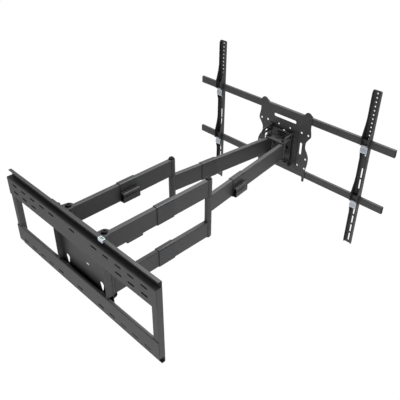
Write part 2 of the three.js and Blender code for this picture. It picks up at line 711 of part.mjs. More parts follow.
// Side flange of a screen arm: a narrow lip that deepens to a hook over each rail.
function armFlange() {
  const at = (depth, z) => [screenWebFront + depth, z];
  const legIn = screenArmSheet + slideFit + screenRailDepth + slideFit;
  const half = screenRailHeight / 2;
  const top = screenArmTop - 2;
  const points = [at(0, top), at(screenArmLip - 5, top), at(screenArmLip, top - 10)];
  for (const z of [upperRailZ, lowerRailZ]) {
    points.push(
      at(screenArmLip, z + half + 90),
      at(screenArmLip + 4, z + half + 62),
      at(hookDepth - 6, z + half + 22),
      at(hookDepth - 1, z + half + 10),
      at(hookDepth, z),
      at(hookDepth - 3, z - half + hookReach + 2),
      at(hookDepth - 7, z - half + hookReach),
      at(legIn, z - half + hookReach),
      at(legIn, z + half + slideFit),
      at(screenArmSheet / 2, z + half + slideFit),
      at(screenArmSheet / 2, z - half - slideFit),
      at(legIn + 2, z - half - slideFit),
      at(legIn + 6, z - half - 14),
      at(legIn + 2, z - half - 34),
      at(screenArmLip, z - half - 56),
    );
  }
  points.push(at(screenArmLip, screenArmBottom + 12));
  points.push(at(screenArmLip - 5, screenArmBottom + 2), at(0, screenArmBottom + 2));
  return outline(points);
}

function screenArm() {
  const w = screenArmHalfWidth;
  const web = roundedBox(-w, screenArmBottom, w, screenArmTop, 5);
  for (let i = 0; i < armHoleCount; i += 1) {
    web.holes.push(circle(0, armHoleTop - i * armHolePitch, armHoleRadius));
  }
  const slots = [[38, 48], [-16, 48], [-154, 40], [-202, 40], [-250, 40], [-298, 40]];
  for (const [z, height] of slots) {
    web.holes.push(uprightSlotShape(0, z, 2 * armHoleRadius, height));
  }
  web.holes.push(circle(0, upperRailZ - 62, armHoleRadius));
  const flange = armFlange();
  return join(
    facing(web, screenWebBack, screenArmSheet),
    sideways(flange, w - screenArmSheet, screenArmSheet),
    sideways(flange, -w, screenArmSheet),
  );
}

// Cast lock that slides up behind the rail's lower edge.
function railLock(z) {
  const at = (depth, height) => [screenWebFront + depth, z - screenRailHeight / 2 + height];
  const back = screenArmSheet + 0.4;
  const lipIn = screenArmSheet + slideFit + screenRailDepth + slideFit;
  const shape = outline([
    at(back, -30), at(lipIn + 3, -30), at(lipIn + 8, -24), at(lipIn + 8, 6), at(lipIn + 6, 10),
    at(lipIn, 10), at(lipIn, -gap), at(back, -gap),
  ]);
  const half = screenArmHalfWidth - screenArmSheet - slideFit;
  return sideways(shape, -half, 2 * half);
}

// ---------------------------------------------------------------- assembly
const mount = new THREE.Group();
mount.position.z = -mountHeight;

addPiece(mount, 'wall_rail_top', wallRail(1), blackCoat());
addPiece(mount, 'wall_rail_bottom', wallRail(-1), blackCoat());
addPiece(mount, 'wall_side_right', sideChannel(1), blackCoat());
addPiece(mount, 'wall_side_left', sideChannel(-1), blackCoat());
addPiece(mount, 'centre_plate', centrePlate(), blackCoat());
addPiece(mount, 'pivot_shelf_upper', pivotShelf(1), blackCoat());
addPiece(mount, 'pivot_shelf_lower', pivotShelf(-1), blackCoat());
addPiece(mount, 'level_body', levelBody(), whitePlastic());
addPiece(mount, 'level_vial', levelVial(), vialFluid());
for (const [name, side] of [['right', 1], ['left', -1]]) {
  for (const [level, row] of [['upper', 1], ['lower', -1]]) {
    addPiece(mount, `plate_bolt_${level}_${name}`,
      plateBolt().translate(side * plateBoltX, 0, row * plateBoltZ), blackHardware());
  }
  const bolt = pivotBolt(boltRadius, upperShelfBottom + shelfThickness + gap, lowerShelfTop - shelfThickness - gap);
  addPiece(mount, `${name}_shoulder_bolt`, bolt.translate(side * shoulderHalfSpacing, shoulderY, 0), blackHardware());
}

addWallArm('right', 1);
addWallArm('left', -1);
const headBore = headBoltRadius + boltClearance;
addForearm('right', 1, headBore);
addForearm('left', -1, headBore + linkageClearance);

const yoke = new THREE.Group();
yoke.position.set(0, headY, 0);
mount.add(yoke);
addPiece(yoke, 'yoke_plate_upper', yokePlate(yokeTopBottom), blackCoat());
addPiece(yoke, 'yoke_plate_lower', yokePlate(yokeBottomTop - yokeThickness), blackCoat());
addPiece(yoke, 'swivel_barrel',
  ring(swivelBarrelRadius, headBore, yokeBottomTop + gap, yokeTopBottom - gap, 0, -swivelOffset), blackCoat());
for (const [name, side] of [['right', 1], ['left', -1]]) {
  const bolt = pivotBolt(headBoltRadius, yokeTopBottom + yokeThickness + gap, yokeBottomTop - yokeThickness - gap);
  addPiece(yoke, `${name}_head_bolt`, bolt.translate(side * headHalfSpacing, 0, 0), blackHardware());
}

addPiece(mount, 'swivel_bracket', swivelBracket(), blackCoat());
const lugTop = yokeTopBottom + 2 * yokeThickness + turnGap + gap;
const lugBottom = yokeBottomTop - 2 * yokeThickness - turnGap - gap;
addPiece(mount, 'swivel_bolt', pivotBolt(headBoltRadius, lugTop, lugBottom).translate(0, swivelY, 0), blackHardware());
addPiece(mount, 'tilt_shaft', tiltShaft(), blackHardware());
addPiece(mount, 'face_plate', facePlate(), blackCoat());
addPiece(mount, 'screen_rail_upper', screenRail(upperRailZ), blackCoat());
addPiece(mount, 'screen_rail_lower', screenRail(lowerRailZ), blackCoat());
for (const [name, side] of [['right', 1], ['left', -1]]) {
  addPiece(mount, `tilt_cheek_${name}`, tiltCheek(side), blackCoat());
  addPiece(mount, `tilt_lock_bolt_${name}`, tiltLockBolt(side), blackHardware());
  addPiece(mount, `screen_arm_${name}`, screenArm().translate(side * screenArmX, 0, 0), blackCoat());
  addPiece(mount, `rail_lock_upper_${name}`, railLock(upperRailZ).translate(side * screenArmX, 0, 0), zinc());
  addPiece(mount, `rail_lock_lower_${name}`, railLock(lowerRailZ).translate(side * screenArmX, 0, 0), zinc());
}

export default mount;
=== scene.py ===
import math
import bmesh
import bpy
from mathutils import Matrix, Vector


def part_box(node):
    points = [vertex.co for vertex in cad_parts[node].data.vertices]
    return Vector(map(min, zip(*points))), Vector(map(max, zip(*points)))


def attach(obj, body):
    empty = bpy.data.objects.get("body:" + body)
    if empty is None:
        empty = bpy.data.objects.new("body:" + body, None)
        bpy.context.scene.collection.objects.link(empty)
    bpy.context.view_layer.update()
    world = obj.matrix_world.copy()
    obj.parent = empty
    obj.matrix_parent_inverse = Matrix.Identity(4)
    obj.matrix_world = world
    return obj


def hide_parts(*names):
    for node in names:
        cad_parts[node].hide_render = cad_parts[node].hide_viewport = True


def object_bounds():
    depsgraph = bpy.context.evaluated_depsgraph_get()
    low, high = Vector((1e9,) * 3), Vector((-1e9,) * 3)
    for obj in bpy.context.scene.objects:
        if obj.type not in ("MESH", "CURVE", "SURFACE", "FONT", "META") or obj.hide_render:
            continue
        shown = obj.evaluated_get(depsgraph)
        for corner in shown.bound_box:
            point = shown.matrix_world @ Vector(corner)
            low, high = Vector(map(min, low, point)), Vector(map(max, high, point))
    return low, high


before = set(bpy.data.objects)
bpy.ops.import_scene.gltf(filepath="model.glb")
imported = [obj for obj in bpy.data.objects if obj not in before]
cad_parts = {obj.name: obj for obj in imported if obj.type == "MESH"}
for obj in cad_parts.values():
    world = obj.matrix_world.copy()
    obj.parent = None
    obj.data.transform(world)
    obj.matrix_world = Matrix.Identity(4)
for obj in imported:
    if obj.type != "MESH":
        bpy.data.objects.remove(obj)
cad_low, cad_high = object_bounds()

# ------------ wall rails
# Upper and lower rail of the wall plate: 2.5 mm steel rolled to a slotted web, a shelf and a lip,
# with a short inner flange and a fold behind the slots.
# Slots are punched before rolling, and the whole rail is powder coated black.
MM = 0.001


def span(node):
    """Lowest and highest corner of a CAD node, in millimetres."""
    low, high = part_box(node)
    return low / MM, high / MM


def fillet(points, radius, steps=4, closed=True):
    """Rounds the corners of an outline; a point may carry its own radius as a third value."""
    rounded = []
    count = len(points)
    for i, point in enumerate(points):
        here = Vector(point[:2])
        own = point[2] if len(point) > 2 else radius
        if own <= 0 or (not closed and i in (0, count - 1)):
            rounded.append(here)
            continue
        before = Vector(points[i - 1][:2]) - here
        after = Vector(points[(i + 1) % count][:2]) - here
        half = before.angle(after) / 2
        if half > math.radians(88):
            rounded.append(here)
            continue
        reach = min(own / math.tan(half), 0.49 * before.length, 0.49 * after.length)
        size = reach * math.tan(half)
        between = (before.normalized() + after.normalized()).normalized()
        middle = here + between * (size / math.sin(half))
        first = here + before.normalized() * reach - middle
        turn = first.angle_signed(here + after.normalized() * reach - middle)
        for k in range(steps + 1):
            rounded.append(middle + Matrix.Rotation(-turn * k / steps, 2) @ first)
    return rounded


def folded(path, thickness, bend):
    """Section of a folded sheet whose middle line follows path, with rounded bends."""
    line = fillet(path, bend + thickness / 2, closed=False)
    sides = ([], [])
    for i, point in enumerate(line):
        legs = (point - line[max(i - 1, 0)], line[min(i + 1, len(line) - 1)] - point)
        ways = [leg.normalized() for leg in legs if leg.length > 0]
        normals = [Vector((-w.y, w.x)) for w in ways]
        mean = (normals[0] + normals[-1]).normalized()
        offset = mean * (thickness / 2 / mean.dot(normals[0]))
        sides[0].append(point + offset)
        sides[1].append(point - offset)
    return sides[0] + sides[1][::-1]


def rectangle(left, bottom, right, top):
    return [(left, bottom), (right, bottom), (right, top), (left, top)]


def round_hole(u, v, radius, steps=32):
    return [Vector((u + radius * math.cos(2 * math.pi * i / steps),
                    v + radius * math.sin(2 * math.pi * i / steps))) for i in range(steps)]


def round_slot(u, v, width, height):
    """Slot with round ends, its width and height over all."""
    w, h = width / 2, height / 2
    return fillet(rectangle(u - w, v - h, u + w, v + h), min(w, h), steps=8)


# Each plane gives the directions of an outline's two axes and of its thickness.
PLANES = {
    "wall": Matrix(((1, 0, 0), (0, 0, -1), (0, 1, 0))),    # x and z, running into the room
    "level": Matrix(((1, 0, 0), (0, 1, 0), (0, 0, 1))),    # x and y, running up
    "side": Matrix(((0, 0, 1), (1, 0, 0), (0, 1, 0))),     # y and z, running along x
}


def pressed(outlines, plane, start, thickness, edge=0.35):
    """Flat or rolled piece from an outline and its holes, with its long edges eased."""
    curve = bpy.data.curves.new("outline", "CURVE")
    curve.dimensions = "2D"
    curve.fill_mode = "BOTH"
    curve.extrude = thickness / 2 - edge
    curve.bevel_depth = edge
    curve.bevel_resolution = 1
    curve.offset = -edge
    for points in outlines:
        spline = curve.splines.new("POLY")
        spline.points.add(len(points) - 1)
        for slot, (u, v) in zip(spline.points, points):
            slot.co = (u, v, 0, 1)
        spline.use_cyclic_u = True
    holder = bpy.data.objects.new("outline", curve)
    mesh = bpy.data.meshes.new_from_object(holder)
    bpy.data.objects.remove(holder)
    turn = PLANES[plane].to_4x4()
    shift = {"wall": (0, start - thickness / 2, 0), "level": (0, 0, start + thickness / 2),
             "side": (start + thickness / 2, 0, 0)}[plane]
    mesh.transform(Matrix.Translation(shift) @ turn)
    return welded(mesh)


def welded(mesh, reach=0.002):
    """Merges the doubled vertices of a mesh and points its faces outwards."""
    work = bmesh.new()
    work.from_mesh(mesh)
    bmesh.ops.remove_doubles(work, verts=work.verts, dist=reach)
    bmesh.ops.recalc_face_normals(work, faces=work.faces)
    work.to_mesh(mesh)
    work.free()
    return mesh


def together(*meshes):
    """One mesh holding all the given ones."""
    work = bmesh.new()
    for mesh in meshes:
        work.from_mesh(mesh)
    whole = bpy.data.meshes.new("together")
    work.to_mesh(whole)
    work.free()
    return whole


def put_in_scene(obj):
    bpy.context.scene.collection.objects.link(obj)


def combined(mesh, tool, operation):
    """Joins a tool to a mesh, or cuts with it; the operation is UNION, DIFFERENCE or INTERSECT."""
    base = bpy.data.objects.new("base", mesh)
    other = bpy.data.objects.new("tool", tool)
    for holder in (base, other):
        put_in_scene(holder)
    step = base.modifiers.new("step", "BOOLEAN")
    step.operation = operation
    step.solver = "EXACT"
    step.object = other
    result = bpy.data.meshes.new_from_object(base.evaluated_get(bpy.context.evaluated_depsgraph_get()))
    for holder in (base, other):
        bpy.data.objects.remove(holder)
    return result


SHARP_ANGLE = math.radians(38)
EASED_ANGLE = math.radians(50)


def piece(name, mesh, body, material, nodes=(), edge=0.0, scale=MM):
    """Puts a finished mesh into the scene, riding its body and standing for its CAD nodes."""
    mesh.transform(Matrix.Scale(scale, 4))
    obj = bpy.data.objects.new(name, mesh)
    put_in_scene(obj)
    mesh.materials.clear()
    mesh.materials.append(material)
    mesh.shade_smooth()
    mesh.set_sharp_from_angle(angle=SHARP_ANGLE)
    if edge:
        bevel = obj.modifiers.new("eased edges", "BEVEL")
        bevel.width = edge * MM
        bevel.segments = 2
        bevel.limit_method = "ANGLE"
        bevel.angle_limit = EASED_ANGLE
    normals = obj.modifiers.new("flat faces", "WEIGHTED_NORMAL")
    normals.keep_sharp = True
    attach(obj, body)
    if nodes:
        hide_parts(*nodes)
    return obj


def steel(name, mesh, body, nodes, edge=0.0):
    """Puts a powder coated steel piece into the scene."""
    return piece(name, mesh, body, POWDER_COAT, nodes, edge)


def group(name, inputs, outputs):
    """Empty shader node group with float sockets; inputs are pairs of a name and a value."""
    tree = bpy.data.node_groups.new(name, "ShaderNodeTree")
    for title, value in inputs:
        socket = tree.interface.new_socket(title, in_out="INPUT", socket_type="NodeSocketFloat")
        socket.default_value = value
    for title in outputs:
        tree.interface.new_socket(title, in_out="OUTPUT", socket_type="NodeSocketFloat")
    return tree


def node(tree, kind, links=(), **settings):
    """Adds a node; links are pairs of its input and the socket or value that feeds it."""
    made = tree.nodes.new(kind)
    for key, value in settings.items():
        setattr(made, key, value)
    for key, source in links:
        if isinstance(source, bpy.types.NodeSocket):
            tree.links.new(source, made.inputs[key])
        else:
            made.inputs[key].default_value = source
    return made


def remap(tree, value, start, end, low=0.0, high=1.0):
    """Stretches a value's range from start to end over the range from low to high."""
    return node(tree, "ShaderNodeMapRange",
                [("Value", value), ("From Min", start), ("From Max", end), ("To Min", low),
                 ("To Max", high)]).outputs[0]


def product(tree, first, second):
    return node(tree, "ShaderNodeMath", [(0, first), (1, second)], operation="MULTIPLY").outputs[0]


def mixed(tree, share, first, second, blend="MIX"):
    """Mixes the second colour into the first by the given share."""
    return node(tree, "ShaderNodeMix", [(0, share), (6, first), (7, second)], data_type="RGBA",
                blend_type=blend).outputs[2]


def fine_grain():
    """Fine grain and slow cloudiness of a sprayed or moulded skin, on object coordinates."""
    tree = group("fine grain", [("Grain Size", 0.0006), ("Cloud Size", 0.06)], ["Grain", "Cloud"])
    given = node(tree, "NodeGroupInput")
    place = node(tree, "ShaderNodeTexCoord").outputs["Object"]
    leaving = node(tree, "NodeGroupOutput")
    for i, detail in enumerate((2.0, 4.0)):
        scale = node(tree, "ShaderNodeMath", [(0, 1.0), (1, given.outputs[i])], operation="DIVIDE")
        noise = node(tree, "ShaderNodeTexNoise",
                     [("Vector", place), ("Scale", scale.outputs[0]), ("Detail", detail),
                      ("Roughness", 0.55)])
        tree.links.new(noise.outputs[0], leaving.inputs[i])
    return tree


def rubbed_edges():
    """Mask of the edges, broken up by a coarse noise: partly wear where handling has thinned the finish,
    partly a painted highlight along every edge.
    """
    tree = group("rubbed edges", [("Width", 0.0007), ("Amount", 0.5)], ["Mask"])
    given = node(tree, "NodeGroupInput")
    place = node(tree, "ShaderNodeTexCoord").outputs["Object"]
    # the edge mask serves both as coat wear and as a painted highlight along every edge
    soft = node(tree, "ShaderNodeBevel", [("Radius", given.outputs[0])], samples=4)
    flat = node(tree, "ShaderNodeNewGeometry")
    match = node(tree, "ShaderNodeVectorMath", [(0, soft.outputs[0]), (1, flat.outputs["Normal"])],
                 operation="DOT_PRODUCT")
    edge = remap(tree, match.outputs["Value"], 0.995, 0.86)
    patch = node(tree, "ShaderNodeTexNoise", [("Vector", place), ("Scale", 70.0), ("Detail", 5.0)])
    broken = remap(tree, patch.outputs[0], 0.42, 0.62)
    share = product(tree, product(tree, edge, broken), given.outputs[1])
    node(tree, "NodeGroupOutput", [(0, share)])
    return tree


def sheltered_recess():
    """Painted shade: darker tone in folds and corners, set by ambient occlusion within the given reach."""
    tree = group("sheltered recess", [("Reach", 0.035), ("Darkest", 0.22)], ["Tone"])
    given = node(tree, "NodeGroupInput")
    # ambient occlusion decides how much painted shade falls in each fold and corner
    open_sky = node(tree, "ShaderNodeAmbientOcclusion", [("Distance", given.outputs[0])], samples=6)
    tone = remap(tree, open_sky.outputs["AO"], 0.30, 0.85, given.outputs[1], 1.0)
    node(tree, "NodeGroupOutput", [(0, tone)])
    return tree


GRAIN = fine_grain()
EDGE_WEAR_AND_HIGHLIGHT = rubbed_edges()
RECESS_SHADE = sheltered_recess()


def finish(name, colour, worn_and_highlit, roughness, spread, metallic=0.0, grain=0.0006, bump=0.25, wear_and_highlight=0.5,
           cloud=0.06, tone=0.25, coat=0.0):
    """Surface with grain, cloudy tone, rubbed edges carrying a painted highlight, and painted shade in
    recesses, over a Principled shader.
    """
    material = bpy.data.materials.new(name)
    material.use_nodes = True
    tree = material.node_tree
    shader = tree.nodes["Principled BSDF"]
    skin = node(tree, "ShaderNodeGroup", [("Grain Size", grain), ("Cloud Size", cloud)], node_tree=GRAIN)
    worn_highlit_edge = node(tree, "ShaderNodeGroup", [("Amount", wear_and_highlight)], node_tree=EDGE_WEAR_AND_HIGHLIGHT)
    painted_shade = node(tree, "ShaderNodeGroup", node_tree=RECESS_SHADE)
    dark = [c * (1 - tone) for c in colour] + [1]
    light = [min(1.0, c * (1 + tone)) for c in colour] + [1]
    tones = mixed(tree, skin.outputs["Cloud"], dark, light)
    flecks = remap(tree, skin.outputs["Grain"], 0.0, 1.0, 0.82, 1.18)
    speckled = mixed(tree, 1.0, tones, flecks, "MULTIPLY")
    # edges take a lighter colour: partly handling wear, partly a painted highlight
    painted = mixed(tree, worn_highlit_edge.outputs[0], speckled, list(worn_and_highlit) + [1])
    # painted shade: the colour is multiplied darker where ambient occlusion finds folds and corners
    shaded = mixed(tree, 1.0, painted, painted_shade.outputs[0], "MULTIPLY")
    rough = remap(tree, skin.outputs["Cloud"], 0.0, 1.0, roughness - spread, roughness + spread)
    height = node(tree, "ShaderNodeBump",
                  [("Height", skin.outputs["Grain"]), ("Strength", bump), ("Distance", grain * 0.3)])
    for key, source in (("Base Color", shaded), ("Roughness", rough), ("Normal", height.outputs[0])):
        tree.links.new(source, shader.inputs[key])
    shader.inputs["Metallic"].default_value = metallic
    shader.inputs["Coat Weight"].default_value = coat
    return material


POWDER_COAT = finish("matt_black_powder_coat", (0.052, 0.052, 0.053), (0.17, 0.17, 0.17), 0.50, 0.07)


def geometry_tree(name, inputs):
    """Geometry Nodes tree with the listed inputs between its geometry and its material."""
    tree = bpy.data.node_groups.new(name, "GeometryNodeTree")
    sockets = [("Geometry", "Geometry")] + list(inputs) + [("Material", "Material")]
    for title, kind in sockets:
        tree.interface.new_socket(title, in_out="INPUT", socket_type="NodeSocket" + kind)
    tree.interface.new_socket("Geometry", in_out="OUTPUT", socket_type="NodeSocketGeometry")
    return tree, node(tree, "NodeGroupInput").outputs


def close_tree(tree, geometry, given):
    """Realizes the geometry, gives it the tree's material and feeds the output."""
    whole = node(tree, "GeometryNodeRealizeInstances", [(0, geometry)])
    painted = node(tree, "GeometryNodeSetMaterial",
                   [("Geometry", whole.outputs[0]), ("Material", given["Material"])])
    node(tree, "NodeGroupOutput", [(0, painted.outputs[0])])
    return tree


def punch_tree():
    """Geometry Nodes: cuts a row of round-ended slots, running through the wall's thickness."""
    tree, given = geometry_tree("punched row",
                                [("First Slot", "Vector"), ("Step", "Vector"), ("Count", "Int"),
                                 ("Width", "Float"), ("Height", "Float"), ("Depth", "Float")])
    frame_curve = node(tree, "GeometryNodeCurvePrimitiveQuadrilateral",
                       [("Width", given["Width"]), ("Height", given["Height"])])
    smaller = node(tree, "ShaderNodeMath", [(0, given["Width"]), (1, given["Height"])], operation="MINIMUM")
    half = product(tree, smaller.outputs[0], 0.4995)
    ends = node(tree, "GeometryNodeFilletCurve",
                [("Curve", frame_curve.outputs[0]), ("Count", 9), ("Radius", half)], mode="POLY")
    back = node(tree, "ShaderNodeCombineXYZ", [("Z", given["Depth"])])
    line = node(tree, "GeometryNodeCurvePrimitiveLine", [("End", back.outputs[0])])
    cutter = node(tree, "GeometryNodeCurveToMesh",
                  [("Curve", line.outputs[0]), ("Profile Curve", ends.outputs[0]), ("Fill Caps", True)])
    turned = node(tree, "GeometryNodeTransform",
                  [("Geometry", cutter.outputs[0]), ("Rotation", (math.pi / 2, 0, 0))])
    row = node(tree, "GeometryNodeMeshLine",
               [("Count", given["Count"]), ("Start Location", given["First Slot"]),
                ("Offset", given["Step"])])
    copies = node(tree, "GeometryNodeInstanceOnPoints",
                  [("Points", row.outputs[0]), ("Instance", turned.outputs[0])])
    solid = node(tree, "GeometryNodeRealizeInstances", [(0, copies.outputs[0])])
    punched = node(tree, "GeometryNodeMeshBoolean",
                   [("Mesh 1", given["Geometry"]), ("Mesh 2", solid.outputs[0])], operation="DIFFERENCE")
    return close_tree(tree, punched.outputs[0], given)


def run_tree(mesh, tree, **values):
    """Runs a Geometry Nodes tree on a mesh and returns the result as a plain mesh."""
    holder = bpy.data.objects.new("holder", mesh)
    put_in_scene(holder)
    step = holder.modifiers.new("step", "NODES")
    step.node_group = tree
    for item in tree.interface.items_tree:
        key = item.name.lower().replace(" ", "_")
        if item.in_out == "INPUT" and key in values:
            step[item.identifier] = values[key]
    result = bpy.data.meshes.new_from_object(holder.evaluated_get(bpy.context.evaluated_depsgraph_get()))
    bpy.data.objects.remove(holder)
    return result


PUNCH = punch_tree()


def punch(mesh, first, step, count, width, height, depth=12.0):
    return run_tree(mesh, PUNCH, first_slot=first, step=step, count=count, width=width, height=height,
                    depth=depth, material=POWDER_COAT)


RAIL_SHEET = 2.5
RAIL_BEND = 1.5
WEB_HEIGHT = 78.0
LIP_RETURN = 14.0
INNER_DEPTH = 12.0
INNER_RETURN = 50.0
RAIL_SLOT = (32.0, 7.5)
SLOT_PITCH = 62.0
FULL_ROW = 20.0
SHORT_ROW = -11.5
PLATE_BOLT = (118.0, 160.0)
PLATE_BORE = 4.3

for name, up in (("wall_rail_top", 1), ("wall_rail_bottom", -1)):
    low, high = span(name)
    inner = low.z if up > 0 else high.z
    outer = high.z if up > 0 else low.z
    h = RAIL_SHEET / 2
    web_top = inner + up * WEB_HEIGHT
    fold = h - INNER_DEPTH
    path = [(fold, inner + up * INNER_RETURN), (fold, inner + up * h), (-h, inner + up * h),
            (-h, web_top - up * h), (low.y + h, web_top - up * h), (low.y + h, outer - up * h),
            (low.y + LIP_RETURN, outer - up * h)]
    rail = pressed([folded(path, RAIL_SHEET, RAIL_BEND)], "side", low.x, high.x - low.x)
    middle = inner + up * WEB_HEIGHT / 2
    full = middle + up * FULL_ROW
    short = middle + up * SHORT_ROW
    rail = punch(rail, (0, 3, full), (SLOT_PITCH, 0, 0), 1, *RAIL_SLOT)
    bolt_low, bolt_high = span(f"plate_bolt_{'upper' if up > 0 else 'lower'}_right")
    bolt_z = (bolt_low.z + bolt_high.z) / 2
    for side in (-1, 1):
        rail = punch(rail, (side * 2 * SLOT_PITCH, 3, full), (side * SLOT_PITCH, 0, 0), 5, *RAIL_SLOT)
        if up > 0:
            rail = punch(rail, (side * 4 * SLOT_PITCH, 3, short), (side * SLOT_PITCH, 0, 0), 3, *RAIL_SLOT)
        bore = pressed([round_hole(side * PLATE_BOLT[0], bolt_z, PLATE_BORE)], "wall", -20, 10, 0.05)
        rail = combined(rail, bore, "DIFFERENCE")
    for side in (-1, 1):
        notch = pressed([rectangle(-30, -12, 30, 12)], "level",
                        inner - 1 if up > 0 else inner - INNER_RETURN - 1, INNER_RETURN + 2, 0.05)
        notch.transform(Matrix.Translation((side * (high.x + 2.7), -RAIL_SHEET - 12, 0)))
        rail = combined(rail, notch, "DIFFERENCE")
    if up > 0:
        level_low, level_high = span("level_body")
        left, right = level_low.x - 1, level_high.x + 1
        room = pressed([rectangle(left, -22.8, right, 2)], "level", outer - 6, 12, 0.05)
        rail = combined(rail, room, "DIFFERENCE")
    steel(name + "_rolled", rail, "wall_plate", [name])

# ------------ side channels
# Upright U channels at the ends of the wall plate, folded from the rails' sheet and welded
# behind the rails' flanges.
for side, name in ((1, "wall_side_right"), (-1, "wall_side_left")):
    low, high = span(name)
    h = RAIL_SHEET / 2
    path = [(low.x + h, low.y), (low.x + h, high.y - h), (high.x - h, high.y - h), (high.x - h, low.y)]
    channel = pressed([folded(path, RAIL_SHEET, RAIL_BEND)], "level", low.z, high.z - low.z)
    steel(name + "_folded", channel, "wall_plate", [name])


# ------------ centre plate
# 3 mm steel plate bolted across the rails, with two upright flanges on its front. Keyholes,
# slits and small holes are laser cut.
def arc_points(u, v, radius, start, end, steps=16):
    """Points of an arc, its angles in degrees."""
    angles = [math.radians(start + (end - start) * i / steps) for i in range(steps + 1)]
    return [Vector((u + radius * math.cos(a), v + radius * math.sin(a))) for a in angles]


low, high = span("centre_plate")
plate_z = (low.z + high.z) / 2
PLATE_CORNER = 14.0
KEYHOLE = (103.0, -60.0)
KEYHOLE_HEAD = 11.0
KEYHOLE_NECK = 5.5
KEYHOLE_DROP = 24.0
SLIT_DROP = 40.0
plate_edge = [(low.x, low.z + PLATE_CORNER), (low.x + PLATE_CORNER, low.z), (high.x - PLATE_CORNER, low.z),
              (high.x, low.z + PLATE_CORNER), (high.x, high.z - PLATE_CORNER),
              (high.x - PLATE_CORNER, high.z), (low.x + PLATE_CORNER, high.z),
              (low.x, high.z - PLATE_CORNER)]
plate_cuts = [round_hole(20, plate_z + 29, 3), round_slot(-27, plate_z - 15, 20, 8)]
for side in (-1, 1):
    keyhole_x, keyhole_z = side * KEYHOLE[0], plate_z + KEYHOLE[1]
    plate_cuts += [
        arc_points(keyhole_x, keyhole_z, KEYHOLE_HEAD, 0, 180)
        + arc_points(keyhole_x, keyhole_z - KEYHOLE_DROP, KEYHOLE_NECK, 180, 360),
        round_slot(keyhole_x, keyhole_z - SLIT_DROP, 26, 6),
        round_hole(side * 152, plate_z + 19, 4.5),
    ]
    plate_cuts += [round_hole(side * PLATE_BOLT[0], plate_z + row * PLATE_BOLT[1], PLATE_BORE)
                   for row in (-1, 1)]
PLATE_SHEET = 3.0
FLANGE_HALF = 69.5
FLANGE_X = 128.0
plate = pressed([fillet(plate_edge, 2)] + plate_cuts, "wall", low.y + PLATE_SHEET, PLATE_SHEET, 0.3)
flange_edge = fillet(rectangle(low.y + 1, plate_z - FLANGE_HALF, high.y, plate_z + FLANGE_HALF), 2)
for flange_start in (low.x, FLANGE_X - PLATE_SHEET):
    plate = together(plate, pressed([flange_edge], "side", flange_start, PLATE_SHEET))
steel("centre_plate_cut", plate, "wall_plate", ["centre_plate"])

# ------------ pivot shelves
# Folded 4 mm angles carrying the arms. Each has two round lobes for the pivot bolts and a leg
# against the centre plate.
SHOULDER = (104.0, -60.0)
LOBE = 20.0
LEDGE = 10.0
SHELF_SHEET = 4.0
SHELF_BORE = 6.3
for name, up in (("pivot_shelf_upper", 1), ("pivot_shelf_lower", -1)):
    low, high = span(name)
    face = high.z if up > 0 else low.z
    tip = low.z if up > 0 else high.z
    middle = SHELF_SHEET / 2
    path = [(low.y - 1, face - up * middle), (high.y - middle, face - up * middle), (high.y - middle, tip)]
    angle = pressed([folded(path, SHELF_SHEET, 2.5)], "side", low.x, high.x - low.x)
    ledge = high.y - LEDGE
    inner = SHOULDER[0] - LOBE
    cookie = [(low.x, high.y + 1), (low.x, ledge)]
    cookie += arc_points(-SHOULDER[0], SHOULDER[1], LOBE, 180, 360) + [(-inner, ledge), (inner, ledge)]
    cookie += arc_points(SHOULDER[0], SHOULDER[1], LOBE, 180, 360) + [(high.x, ledge), (high.x, high.y + 1)]
    bores = [round_hole(side * SHOULDER[0], SHOULDER[1], SHELF_BORE) for side in (-1, 1)]
    stamp = pressed([cookie] + bores, "level", low.z - 1, high.z - low.z + 2, 0.02)
    steel(name + "_stamped", combined(angle, stamp, "INTERSECT"), "wall_plate", [name], edge=0.3)


# ------------ spirit level
# Small moulded block in the rail's notch with a sealed vial of tinted spirit.
LEVEL_PLASTIC = finish("white_level_plastic", (0.66, 0.73, 0.82), (0.8, 0.85, 0.9), 0.42, 0.05,
                       grain=0.0004, bump=0.1, wear_and_highlight=0.2, tone=0.06)
VIAL_FLUID = finish("tinted_spirit", (0.42, 0.60, 0.34), (0.5, 0.7, 0.4), 0.12, 0.03, grain=0.0004,
                    bump=0.02, wear_and_highlight=0.1, tone=0.10, coat=0.8)


def turned(profile, steps=40):
    """Solid of revolution round the z axis from (radius, z) points running upwards."""
    ways = [2 * math.pi * i / steps for i in range(steps)]
    rings = [[(r * math.cos(way), r * math.sin(way), z) for way in ways] for r, z in profile]
    verts = [v for ring in rings for v in ring]
    faces = [tuple(reversed(range(steps))), tuple(range(len(verts) - steps, len(verts)))]
    for k in range(len(rings) - 1):
        for i in range(steps):
            j = (i + 1) % steps
            faces.append((k * steps + i, k * steps + j, (k + 1) * steps + j, (k + 1) * steps + i))
    mesh = bpy.data.meshes.new("turned")
    mesh.from_pydata(verts, [], faces)
    return welded(mesh, 0.0005)


low, high = span("level_body")
vial_low, vial_high = span("level_vial")
centre_x, centre_y, vial_z = (low.x + high.x) / 2, (low.y + high.y) / 2, (vial_low.z + vial_high.z) / 2
half_vial = (vial_high.x - vial_low.x) / 2
block_edge = fillet(rectangle(low.x, low.y, high.x, high.y), 1.5)
block = pressed([block_edge], "level", low.z, high.z - low.z, 0.5)
window = pressed([round_slot(centre_x, centre_y, 2 * half_vial + 0.6, 8.6)], "level", vial_z - 4.3, 20,
                 0.05)
block = combined(block, window, "DIFFERENCE")
piece("level_block", block, "wall_plate", LEVEL_PLASTIC, ["level_body"])
vial = turned([(2.8, -half_vial), (4, -half_vial + 1.4), (4, -0.1 - half_vial / 3), (3.85, -half_vial / 3),
               (3.85, half_vial / 3), (4, 0.1 + half_vial / 3), (4, half_vial - 1.4), (2.8, half_vial)], 32)
vial.transform(Matrix.Translation((centre_x, centre_y, vial_z)) @ Matrix.Rotation(math.pi / 2, 4, "Y"))
piece("level_capsule", vial, "wall_plate", VIAL_FLUID, ["level_vial"])

